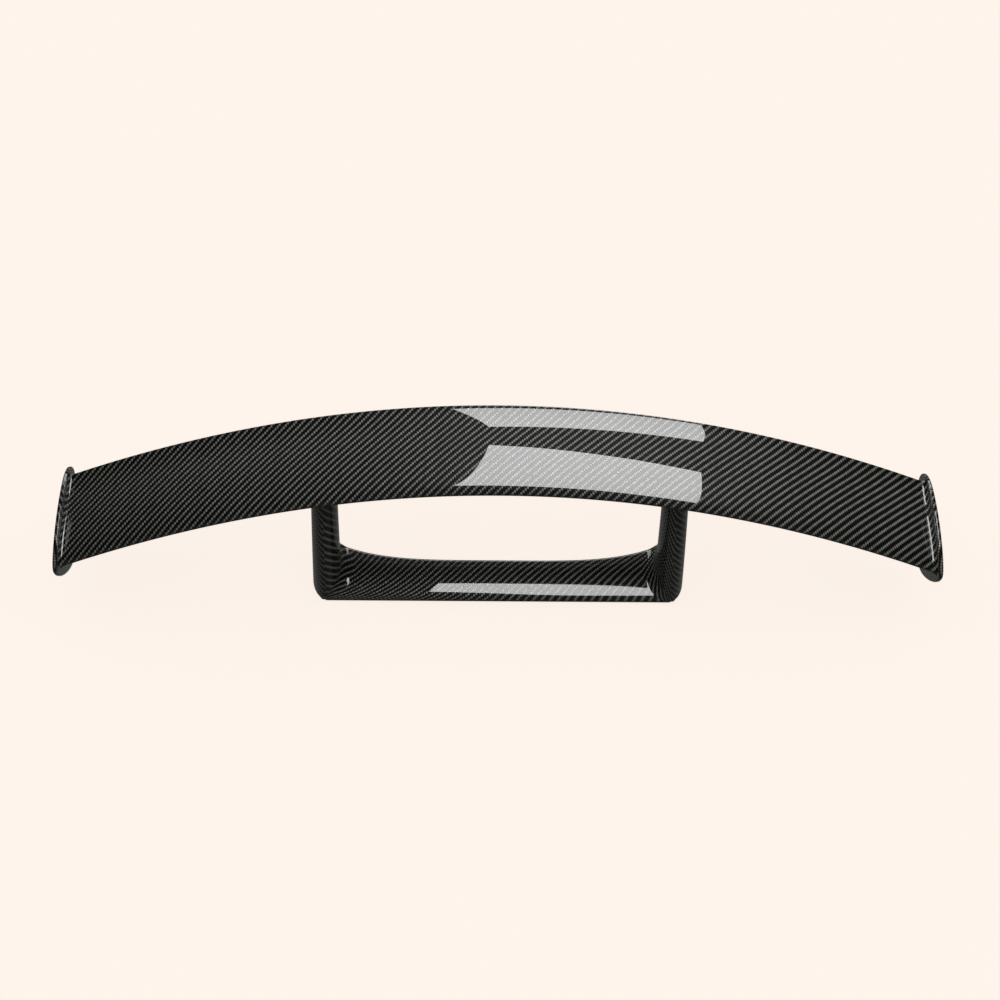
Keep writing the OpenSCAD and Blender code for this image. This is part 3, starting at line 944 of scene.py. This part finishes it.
    def shell(self) -> bpy.types.Object:
        """Grows both skins as one closed moulding.

        Returns:
            The blade.
        """
        grower = Grower("blade_shell", {"Half span": self.half_span + self.overrun, "Ripple": self.ripple})
        graph, ops = grower.graph, NodeMath(grower.graph)
        steps = {"Vertices X": self.span_steps + 1, "Vertices Y": self.loop_steps + 1}
        grid = graph.node("GeometryNodeMeshGrid", {}, {"Size X": 2.0, "Size Y": 2.0, **steps})
        gx, gy, _ = graph.parts(graph.out(graph.node("GeometryNodeInputPosition")))
        x = gx * grower.size("Half span")
        y, z, s, turn = self.loop(ops, gy)
        wave = graph.noise(graph.vector(x, y, z), 11.0, 1.0) - 0.5
        fade = ops.sin(ops.sqrt(s) * math.pi)
        px, py, pz = self.place(x, y, z + wave * grower.size("Ripple") * ops.sign(gy) * fade)
        cloth = graph.vector(self.span_length(x), self.cloth_length(ops, graph, gy, s, turn))
        stored = graph.node(
            "GeometryNodeStoreNamedAttribute",
            {"data_type": "FLOAT2", "domain": "CORNER"},
            {"Geometry": grid.outputs[0], "Name": CLOTH, "Value": cloth},
        )
        spots = {"Geometry": stored.outputs[0], "Position": graph.vector(px, py, pz)}
        moved = graph.node("GeometryNodeSetPosition", {}, spots)
        close = {"Geometry": moved.outputs[0], "Distance": self.weld}
        merged = graph.node("GeometryNodeMergeByDistance", {}, close)
        grower.close(merged.outputs[0], BLADE_CLOTH)
        piece = grower.grow("blade", BLADE_CLOTH)
        tidy = bmesh.new()
        tidy.from_mesh(piece.data)
        bmesh.ops.holes_fill(tidy, edges=[e for e in tidy.edges if e.is_boundary], sides=0)
        bmesh.ops.recalc_face_normals(tidy, faces=tidy.faces)
        tidy.to_mesh(piece.data)
        tidy.free()
        smooth(piece.data, 50)
        return piece

    def tip_fillet(self, side: Side, steps: int = 14) -> bpy.types.Object:
        """Makes the trumpet-shaped fillet round the outline at one tip.

        Args:
            side: which tip.
            steps: flats round the fillet's quarter circle.

        Returns:
            The fillet.
        """
        v = np.linspace(-1, 1, 2 * self.loop_steps + 1)
        y, z, _, _ = self.loop(NumberMath(), v)
        length = np.concatenate([[0], np.cumsum(np.hypot(np.diff(y), np.diff(z)))])
        length -= np.interp(0, v, length)
        sunk_end, sunk_foot, r = 0.05 * MM, 0.4 * MM, self.fillet
        profile = [
            (r * (1 - math.sin(a)) - sunk_end, r * (1 - math.cos(a)), r * a)
            for a in np.linspace(0, math.pi / 2, steps + 1)
        ]
        back = profile[-1][2]
        profile += [(-sunk_end, -sunk_foot, back + r), (r, -sunk_foot, back + 2 * r)]
        rows, maps = [], []
        for inset, out, reach in profile + profile[:1]:
            loop = self.tip_loop(v, self.half_span - inset, out)
            loop[:, 0] *= side.value
            rows.append(loop)
            reach += self.span_length(self.half_span - self.fillet)
            maps.append(np.stack([np.full_like(v, reach * side.value), length], axis=-1))
        work = Patchwork()
        work.grid(np.array(rows), np.array(maps))
        mesh = work.mesh(f"tip_fillet_{side.word}")
        smooth(mesh, 50)
        return new_object(f"fillet_{side.word}", mesh, BLADE_CLOTH)

    def build(self) -> None:
        """Makes the blade and both fillets."""
        show(self.shell(), "blade_carbon", "blade_upper_skin", "blade_lower_skin")
        for side in Side:
            show(self.tip_fillet(side), "blade_carbon", f"tip_fillet_{side.word}")


# ---- End plates ----


@dataclass
class EndPlate:
    """One upright plate with a rounded rim and its countersunk screws, in metres."""

    blade: Blade
    side: Side
    thickness: float = 6 * MM
    rim_radius: float = 2.4 * MM
    ahead: float = 11 * MM
    behind: float = 36 * MM
    above: float = 50 * MM
    below: float = 72 * MM
    screw_shares: tuple[float, ...] = (0.22, 0.38, 0.54)
    screw_head: float = 4.7 * MM
    screw_sink: float = 0.3 * MM
    hole_radius: float = 5.0 * MM
    hole_depth: float = 3 * MM

    def outline(self, steps: int = 60) -> np.ndarray:
        """Draws the rim as four curves through nose, crest, tail and keel.

        Args:
            steps: points on each curve.

        Returns:
            y and z of each point, from the blade's leading edge at the tip.
        """
        nose = np.array([-self.ahead, 4 * MM])
        crest = np.array([self.blade.depth * 0.84, self.above])
        tail = np.array([self.blade.depth + self.behind, 14 * MM])
        keel = np.array([self.blade.depth * 0.58, -self.below])
        curves = [
            (nose, nose + (0, 16 * MM), crest - (70 * MM, 0), crest),
            (crest, crest + (30 * MM, 0), tail + (0, 22 * MM), tail),
            (tail, tail - (0, 34 * MM), keel + (48 * MM, 0), keel),
            (keel, keel - (22 * MM, 0), nose - (0, 22 * MM), nose),
        ]
        t = np.linspace(0, 1, steps, endpoint=False)[:, None]
        near, far = 3 * (1 - t) ** 2 * t, 3 * (1 - t) * t**2
        return np.concatenate([(1 - t) ** 3 * a + near * b + far * c + t**3 * d for a, b, c, d in curves])

    def body(self) -> bpy.types.Object:
        """The plate itself.

        Returns:
            The plate, with its screw holes.
        """
        rim = self.outline()
        ahead = np.roll(rim, -1, axis=0) - np.roll(rim, 1, axis=0)
        outwards = np.stack([-ahead[:, 1], ahead[:, 0]], axis=1) / np.linalg.norm(ahead, axis=1)[:, None]
        origin = np.array(self.blade.place(self.blade.half_span, 0.0, 0.0))
        r, t = self.rim_radius, self.thickness
        steps = [(r * (1 - math.cos(a)), r * (1 - math.sin(a))) for a in np.linspace(0, math.pi / 2, 9)]
        rows = [(x, inset) for x, inset in steps] + [(t - x, inset) for x, inset in reversed(steps)]
        points, maps, reach, last = [], [], 0.0, None
        for x, inset in rows:
            yz = rim - outwards * inset
            reach += 0.0 if last is None else math.hypot(x - last[0], inset - last[1])
            last = (x, inset)
            ring = np.column_stack([np.full(len(yz), x), yz]) + origin
            ring[:, 0] *= self.side.value
            points.append(ring)
            maps.append(rim + outwards * (reach - r))
        work = Patchwork()
        closed = np.concatenate([np.array(points), np.array(points)[:, :1]], axis=1)
        closed_map = np.concatenate([np.array(maps), np.array(maps)[:, :1]], axis=1)
        work.grid(closed, closed_map)
        work.cap(points[0], maps[0])
        work.cap(points[-1][::-1], points[-1][::-1, 1:] - origin[1:])
        mesh = work.mesh(f"end_plate_{self.side.word}")
        piece = new_object(f"plate_{self.side.word}", mesh, PLATE_CLOTH)
        face = (self.blade.half_span + self.thickness) * self.side.value
        inwards = Vector((-self.side.value, 0, 0))
        spots = [Vector((face, y, z)) for y, z in self.screw_places()]
        drill(piece, [(spot, inwards, self.hole_radius, self.hole_depth) for spot in spots])
        smooth(piece.data, 35)
        return piece

    def screw_places(self) -> list[tuple[float, float]]:
        """y and z of each screw.

        Returns:
            A pair for each screw, from front to rear, in metres.
        """
        places = []
        for share in self.screw_shares:
            s = np.float64(share)
            middle = self.blade.mean_line(NumberMath(), s)
            _, y, z = self.blade.place(self.blade.half_span, self.blade.depth * s, middle)
            places.append((float(y), float(z)))
        return places

    def build(self) -> None:
        """Makes the plate and its screws."""
        show(self.body(), "plate_carbon", f"end_plate_{self.side.word}")
        face = (self.blade.half_span + self.thickness - self.screw_sink) * self.side.value
        spots = [Vector((face, y, z)) for y, z in self.screw_places()]
        facing = Vector((self.side.value, 0, 0))
        screws = Screws(f"plate_screws_{self.side.word}", spots, facing, self.screw_head)
        show(screws.build(), "steel", f"end_plate_screws_{self.side.word}")


@dataclass
class Screws:
    """Socket screws whose heads all face one way, in metres."""

    name: str
    spots: list[Vector]
    facing: Vector
    head: float
    shank: float = 2.5 * MM
    length: float = 12 * MM
    head_height: float = 2.4 * MM
    socket_depth: float = 2.2 * MM
    socket_share: float = 0.52
    break_edge: float = 0.35 * MM
    point: float = 0.6 * MM
    turn_between: float = 0.7
    sides: int = 36

    def pattern(self) -> bpy.types.Mesh:
        """Makes one screw, its head's face at the origin and pointing up.

        Returns:
            The screw's mesh, from the middle of its socket to its point.
        """
        h, socket, edge, end = self.head, self.socket_share * self.head, self.break_edge, self.length
        profile = [
            (0.0, -self.socket_depth),
            (socket, -self.socket_depth),
            (socket, -0.25 * MM),
            (0.60 * h, 0.0),
            (h - edge, 0.0),
            (h, -edge),
            (h, -self.head_height),
            (self.shank, -self.head_height - 0.3 * MM),
            (self.shank, -end + self.point),
            (self.shank - self.point, -end),
            (0.0, -end),
        ]
        six_sided = (1, 2)
        made = bmesh.new()
        rings = []
        for k, (r, z) in enumerate(profile):
            ring = []
            for j in range(self.sides):
                a = math.tau * j / self.sides
                flat = 1 / math.cos((a + math.pi / 6) % (math.pi / 3) - math.pi / 6)
                reach = r * flat if k in six_sided else r
                ring.append(made.verts.new((reach * math.cos(a), reach * math.sin(a), z)))
            rings.append(ring)
        for low, high in zip(rings, rings[1:]):
            for j in range(self.sides):
                after = (j + 1) % self.sides
                made.faces.new((low[j], low[after], high[after], high[j]))
        bmesh.ops.remove_doubles(made, verts=made.verts, dist=1e-6)
        bmesh.ops.recalc_face_normals(made, faces=made.faces)
        mesh = bpy.data.meshes.new(self.name)
        made.to_mesh(mesh)
        made.free()
        smooth(mesh, 30)
        return mesh

    def build(self) -> bpy.types.Object:
        """Sets a screw at every spot.

        Returns:
            All the screws as one piece.
        """
        pattern = new_object(self.name + "_pattern", self.pattern())
        grower = Grower(self.name, {"Turn between screws": self.turn_between})
        graph = grower.graph
        info = graph.node("GeometryNodeObjectInfo", {"transform_space": "ORIGINAL"}, {"Object": pattern})
        info.inputs["As Instance"].default_value = True
        angle = graph.out(graph.node("GeometryNodeInputIndex")) * grower.size("Turn between screws")
        aim = graph.node("FunctionNodeAlignRotationToVector", {"axis": "Z"}, {"Vector": self.facing})
        spin = graph.node("FunctionNodeAxisAngleToRotation", {}, {"Axis": (0, 0, 1), "Angle": angle})
        turned = graph.node(
            "FunctionNodeRotateRotation",
            {"rotation_space": "LOCAL"},
            {"Rotation": aim.outputs[0], "Rotate By": spin.outputs[0]},
        )
        placed = graph.node(
            "GeometryNodeInstanceOnPoints",
            {},
            {
                "Points": grower.entry.outputs[0],
                "Instance": graph.out(info, "Geometry"),
                "Rotation": turned.outputs[0],
            },
        )
        finish = FINISHES["steel"]
        grower.close(placed.outputs[0], finish)
        piece = grower.grow(self.name, finish, self.spots)
        bpy.data.objects.remove(pattern)
        return piece


# ---- Pedestal ----


@dataclass
class Pedestal:
    """The U-shaped moulding that carries the blade, with its pads, in metres."""

    blade: Blade
    strut_x: float = 243 * MM
    chord: float = 90 * MM
    chord_top: float = 80 * MM
    width: float = 40 * MM
    width_top: float = 36 * MM
    rake: float = 27 * MM
    lip_y: float = -43 * MM
    bar_depth: float = 66 * MM
    bar_height: float = 24 * MM
    lip_height: float = 7.4 * MM
    corner_rise: float = 9 * MM
    fillet_front: float = 12 * MM
    fillet_rear: float = 24 * MM
    gasket: float = 2 * MM
    pad: float = 1.5 * MM
    seal_gap: float = 0.3 * MM
    turn_radius: float = 6 * MM
    lip_share: float = 0.07
    tail_share: float = 0.13
    sole_share: float = 0.05
    bow_angle: float = 100.0
    foot_bolt_y: float = 22 * MM
    foot_bolt_radius: float = 6.6 * MM
    bar_bolt_x: float = 90 * MM
    bar_bolt_radius: float = 5.1 * MM
    bolt_depth: float = 14 * MM
    belly_share: float = 0.3
    strut_rows: int = 40
    turn_rows: int = 24
    bar_rows: int = 56
    girth: int = 72

    @property
    def seam_z(self) -> float:
        """Height of the seam between the two skins on the bar."""
        return self.gasket + self.lip_height / 2

    def swell(self, c: np.ndarray) -> np.ndarray:
        """Share of the strut's half width at a share of its chord."""
        return np.maximum(np.sin(math.pi * np.clip(c, 0, 1) ** 0.85), 0) ** 0.6

    @staticmethod
    def rounding(c: np.ndarray, part: float) -> np.ndarray:
        """A quarter round over the first part of the depth."""
        return np.where(c >= part, 1.0, np.sqrt(np.maximum(1 - (1 - np.minimum(c / part, 1)) ** 2, 0)))

    def crown(self, c: np.ndarray) -> np.ndarray:
        """The bar's roundings at lip and rear edge."""
        return np.minimum(self.rounding(c, self.lip_share), self.rounding(1 - c, self.tail_share))

    def level(self, side: int, c: np.ndarray, x: np.ndarray) -> np.ndarray:
        """Height of one face of the bar.

        Args:
            side: -1 for its top, 1 for its underside.
            c: shares of the bar's depth.
            x: places across the wing, in metres.

        Returns:
            z of each point, in metres.
        """
        if side > 0:
            under = np.minimum(self.rounding(c, self.sole_share), self.rounding(1 - c, self.sole_share))
            return self.seam_z + (self.gasket - self.seam_z) * under
        rise = self.lip_height + (self.bar_height - self.lip_height) * np.sin(np.radians(self.bow_angle * c))
        top = self.gasket + rise + self.corner_rise * c * (x / self.strut_x) ** 4
        return self.seam_z + (top - self.seam_z) * self.crown(c)

    def turn(self, side: int, c: np.ndarray) -> np.ndarray:
        """Radius between bar and strut.

        Args:
            side: -1 for the inner face, 1 for the outer.
            c: shares of the depth.

        Returns:
            The radius at each share, in metres.
        """
        if side > 0:
            return np.full_like(c, self.turn_radius)
        inner = self.fillet_front + (self.fillet_rear - self.fillet_front) * c
        return self.turn_radius + (inner - self.turn_radius) * self.crown(c)

    def depth_at(self, x: np.ndarray) -> np.ndarray:
        """Fore-and-aft depth of the bar."""
        inner = self.strut_x - self.width / 2
        return self.bar_depth + (self.chord - self.bar_depth) * np.minimum(1, np.abs(x) / inner) ** 4

    def face(self, side: int, c: np.ndarray, v: float) -> np.ndarray:
        """x of the strut's face at a share of its height."""
        return self.strut_x + side * (self.width + (self.width_top - self.width) * v) / 2 * self.swell(c)

    def nose(self, v: float) -> float:
        """y of the strut's nose."""
        return self.lip_y + self.rake * v**1.5

    def chord_at(self, v: float) -> float:
        """Fore-and-aft length of the strut."""
        return self.chord + (self.chord_top - self.chord) * v**1.5

    def saddle(self, x: np.ndarray, y: np.ndarray) -> np.ndarray:
        """Height of the plane on which the blade's pad lies.

        Args:
            x: places across the wing, in metres.
            y: places from front to rear, in metres.

        Returns:
            z of each point, in metres.
        """
        _, le_y, le_z = self.blade.place(self.strut_x, 0.0, 0.0)
        slope_y = math.tan(math.radians(self.blade.incline))
        slope_x = -2 * self.blade.arch * self.strut_x / self.blade.half_span**2
        belly = float(self.blade.half_thick(NumberMath(), np.float64(self.belly_share)))
        return le_z + slope_y * (y - le_y) - belly - self.pad + slope_x * (np.abs(x) - self.strut_x)

    def rows(self, side: int, c: np.ndarray) -> list[np.ndarray]:
        """Follows one face down the right strut and in along the bar.

        Args:
            side: -1 for the face towards the middle and upwards, 1 for the other.
            c: shares of the depth, from front to rear.

        Returns:
            Lines of points from the strut's top to the middle of the bar, in metres.
        """
        made = []
        top_y = self.nose(1) + c * self.chord_at(1)
        top = self.saddle(self.face(side, c, 1), top_y)
        for v in np.linspace(1, 0, self.strut_rows + 1):
            x, y = self.face(side, c, v), self.nose(v) + c * self.chord_at(v)
            foot = self.level(side, c, self.face(side, c, 0)) + self.turn(side, c)
            made.append(np.stack([x, y, foot + (top - foot) * v], axis=-1))
        r = self.turn(side, c)
        for a in np.radians(90 * (1 - np.arange(1, self.turn_rows + 1) / self.turn_rows)):
            x = self.face(side, c, 0) - r + r * math.sin(a)
            y = self.lip_y + c * self.depth_at(x)
            made.append(np.stack([x, y, self.level(side, c, x) + r * (1 - math.cos(a))], axis=-1))
        for t in np.arange(1, self.bar_rows + 1) / self.bar_rows:
            x = (self.face(side, c, 0) - r) * (1 - t)
            made.append(np.stack([x, self.lip_y + c * self.depth_at(x), self.level(side, c, x)], axis=-1))
        return made

    def moulding(self) -> bpy.types.Object:
        """The pedestal's whole outer surface, closed on top of the struts.

        Returns:
            The moulding, with its bolt holes.
        """
        c = (1 - np.cos(math.pi * np.arange(self.girth + 1) / self.girth)) / 2
        work = Patchwork()
        tops = []
        for side in (-1, 1):
            half = np.array(self.rows(side, c))
            other = half[-2::-1] * (-1, 1, 1)
            whole = np.concatenate([half, other])
            middle = whole[:, self.girth // 2]
            path = np.concatenate([[0], np.cumsum(np.linalg.norm(np.diff(middle, axis=0), axis=1))])
            path = path[len(half) - 1] - path
            steps = np.linalg.norm(np.diff(whole, axis=1), axis=2)
            across = np.concatenate([np.zeros((len(whole), 1)), np.cumsum(steps, axis=1)], axis=1)
            maps = np.stack([np.repeat(path[:, None], len(c), axis=1), -across * side], axis=-1)
            work.grid(whole, maps, flip=side < 0)
            tops.append((whole, maps))
        for at in (0, -1):
            ring = np.concatenate([tops[0][0][at], tops[1][0][at][-2:0:-1]])
            work.cap(ring, ring[:, :2])
        mesh = work.mesh("pedestal")
        piece = new_object("pedestal", mesh, PEDESTAL_CLOTH)
        up = Vector((0, 0, 1))
        middle_y = self.lip_y + self.bar_depth / 2
        bolts = []
        for i in (-1, 1):
            bolts += [(i * self.strut_x, j * self.foot_bolt_y, self.foot_bolt_radius) for j in (-1, 1)]
            bolts.append((i * self.bar_bolt_x, middle_y, self.bar_bolt_radius))
        drill(piece, [(Vector((x, y, self.gasket)), up, r, self.bolt_depth) for x, y, r in bolts])
        smooth(piece.data, 40)
        return piece

    def belly(self, x: np.ndarray, y: np.ndarray) -> np.ndarray:
        """Height of the blade's underside.

        Args:
            x: places across the wing, in metres.
            y: places from front to rear, in metres.

        Returns:
            z of each point, in metres.
        """
        numbers, bow = NumberMath(), x * x / self.blade.half_span**2
        s = np.clip((y - self.blade.front + self.blade.sweep * bow) / self.blade.depth, 0, 1)
        low = self.blade.mean_line(numbers, s) - self.blade.half_thick(numbers, s)
        return self.blade.height - self.blade.arch * bow + low

    def saddle_pad(self, side: Side) -> bpy.types.Object:
        """Makes the rubber pad between one strut and the blade.

        Args:
            side: which strut.

        Returns:
            The pad, with slightly rounded edges.
        """
        c = (1 - np.cos(math.pi * np.arange(41) / 40)) / 2
        c = c * (1 - 0.02) + 0.01
        edge = ((2.0, 0.0), (0.5, 0.0), (0.15, 0.12), (0.0, 0.35))
        rings = []
        for inset, up in edge + tuple((inset, 1 - up) for inset, up in reversed(edge)):
            y = self.nose(1) + c * self.chord_at(1)
            reach = np.maximum(self.width_top / 2 * self.swell(c) - inset * MM, 0.2 * MM)
            xs = np.concatenate([self.strut_x + reach, (self.strut_x - reach)[::-1]])
            ys = np.concatenate([y, y[::-1]])
            low, high = self.saddle(xs, ys), self.belly(xs, ys) - self.seal_gap / 3
            ring = np.stack([xs * side.value, ys, low + (high - low) * up], axis=-1)
            rings.append(np.concatenate([ring, ring[:1]]))
        work = Patchwork()
        work.grid(np.array(rings), np.array(rings)[:, :, :2])
        work.cap(rings[0][:-1], rings[0][:-1, :2])
        work.cap(rings[-1][:-1], rings[-1][:-1, :2])
        mesh = work.mesh(f"pad_{side.word}")
        smooth(mesh, 50)
        return new_object(f"pad_{side.word}", mesh, FINISHES["rubber"])

    def build(self) -> None:
        """Makes the moulding and both pads."""
        show(self.moulding(), "pedestal_carbon", "pedestal_window_skin", "pedestal_outer_skin")
        for side in Side:
            show(self.saddle_pad(side), "rubber", f"saddle_pad_{side.word}")


# ---- What the CAD model shows itself ----


@dataclass
class CarriedOver:
    """Nodes that keep their shape and get their finish."""

    nodes: Mapping[str, bpy.types.Object]
    record: Mapping[str, Any]

    def build(self) -> None:
        """Dresses every node from its material slot."""
        for part in self.record["subparts"]:
            node, slot = part["node"], part["material_slot"]
            mesh = self.nodes[node].data
            finish = FINISHES[slot]
            if isinstance(finish, Weave) and finish.on_cloth:
                finish = Weave(finish.name + "_flat", tow=finish.tow, lit=finish.lit, on_cloth=False)
            mesh.materials.clear()
            mesh.materials.append(finish.build())
            LOG.info("%s: dressed as %s", node, slot)


# ---- Studio ----


@dataclass
class Softbox:
    """One area light aimed at a point, in metres and watts."""

    name: str
    place: tuple[float, float, float]
    target: tuple[float, float, float]
    size: tuple[float, float]
    power: float
    turn: float = 0.0

    def build(self) -> bpy.types.Object:
        """Makes the light.

        Returns:
            The light, turned to its target.
        """
        data = bpy.data.lights.new(self.name, "AREA")
        data.shape, data.size, data.size_y = "RECTANGLE", self.size[0], self.size[1]
        data.energy = self.power
        made = bpy.data.objects.new(self.name, data)
        aim = (Vector(self.target) - Vector(self.place)).to_track_quat("-Z", "Y").to_matrix().to_4x4()
        turn = Matrix.Rotation(math.radians(self.turn), 4, "Z")
        made.matrix_world = Matrix.Translation(self.place) @ aim @ turn
        bpy.context.scene.collection.objects.link(made)
        return made


@dataclass
class Studio:
    """Floor, lights, surroundings and camera; lengths in metres, angles in degrees."""

    distance: float = 2.78
    lens: float = 71.5
    sensor: float = 36.0
    farthest: float = 60.0
    yaw: float = -1.9
    roll: float = 1.78
    elevation: float = 45.0
    aim: tuple[float, float, float] = (0.0, 0.017, 0.105)
    rise: float = 0.0291
    side: float = 0.0008
    softboxes: list[Softbox] = field(default_factory=list)
    floor_half: float = 14.0
    floor_gap: float = 0.05 * MM
    room: float = 0.10
    gloss_room: float = 0.02
    gloss_floor: float = 0.11
    gloss_front: float = 0.12
    room_tint: Colour = ROOM_TINT
    gloss_tint: Colour = (0.95, 1.0, 0.93, 1)

    def camera(self) -> None:
        """Looks down on the leading edge from in front."""
        yaw, tilt, roll = (math.radians(a) for a in (self.yaw, self.elevation, self.roll))
        back = Vector((math.sin(yaw) * math.cos(tilt), -math.cos(yaw) * math.cos(tilt), math.sin(tilt)))
        eye = Vector(self.aim) + back * self.distance
        right = (-back).cross(Vector((0, 0, 1))).normalized()
        up = right.cross(-back)
        right, up = right * math.cos(roll) + up * math.sin(roll), up * math.cos(roll) - right * math.sin(roll)
        target = Vector(self.aim) + up * self.rise + right * self.side
        back = (eye - target).normalized()
        right = up.cross(back).normalized()
        up = back.cross(right)
        data = bpy.data.cameras.new("camera")
        data.lens, data.sensor_width, data.clip_end = self.lens, self.sensor, self.farthest
        made = bpy.data.objects.new("camera", data)
        made.matrix_world = Matrix.Translation(eye) @ Matrix((right, up, back)).transposed().to_4x4()
        bpy.context.scene.collection.objects.link(made)
        bpy.context.scene.camera = made

    def floor(self) -> bpy.types.Collection:
        """Lays a wide pale sheet just under the gasket.

        Returns:
            A group that keeps a light off the sheet, so that the room alone lights it.
        """
        half, low = self.floor_half, CAD_BOX[0][2] - self.floor_gap
        corners = [(-half, -half, low), (half, -half, low), (half, half, low), (-half, half, low)]
        mesh = bpy.data.meshes.new("floor")
        mesh.from_pydata(corners, [], [(0, 1, 2, 3)])
        sheet = new_object("floor", mesh, Backdrop("floor_sheet"))
        sheet.visible_glossy = sheet.visible_diffuse = False
        unlit = bpy.data.collections.new("lit_by_the_room_only")
        unlit.objects.link(sheet)
        for member in unlit.collection_objects:
            member.light_linking.link_state = "EXCLUDE"
        return unlit

    def surroundings(self) -> None:
        """An even, dim room, with its own look in reflections."""
        world = bpy.data.worlds.new("room")
        world.use_nodes = True
        graph = Graph(world.node_tree)
        node = world.node_tree.nodes["Background"]
        mirrored = graph.out(graph.node("ShaderNodeLightPath"), "Is Glossy Ray")
        graph.feed(node, "Color", graph.blend(mirrored, self.room_tint, self.gloss_tint))
        _, to_rear, up = graph.parts(graph.out(graph.node("ShaderNodeTexCoord"), "Generated"))
        below = graph.step(0.0 - up, -0.02, 0.10)
        ahead = graph.step(0.0 - to_rear, 0.25, 0.65)
        gloss = self.gloss_room + below * self.gloss_floor + (1.0 - below) * ahead * self.gloss_front
        seen = graph.out(mirrored.socket.node, "Is Camera Ray")
        strength = graph.choose(mirrored, gloss, self.room) + (1.0 - self.room) * seen
        graph.feed(node, "Strength", strength)
        bpy.context.scene.world = world

    def build(self) -> None:
        """Sets everything up."""
        self.camera()
        unlit = self.floor()
        self.surroundings()
        for box in self.softboxes:
            box.build().light_linking.receiver_collection = unlit
        bpy.context.scene.view_settings.view_transform = "Standard"


SOFTBOXES = [
    Softbox("key", (0.335, 0.285, 1.65), (0.335, 0.285, 0.0), (0.80, 0.92), 23.5, turn=-7.0),
    Softbox("rear_fill", (-0.1, 2.3, 1.55), (0.0, 0.1, 0.1), (3.4, 1.1), 42.0),
]


def main() -> None:
    """Builds the studio and every piece, in order."""
    logging.basicConfig(level=logging.INFO, format="%(name)s: %(message)s", stream=sys.stdout)
    Studio(softboxes=SOFTBOXES).build()
    CarriedOver(frame["nodes"], frame["record"]).build()
    blade = Blade()
    blade.build()
    for side in Side:
        EndPlate(blade, side).build()
    Pedestal(blade).build()
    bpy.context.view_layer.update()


if __name__ == "__main__":
    main()
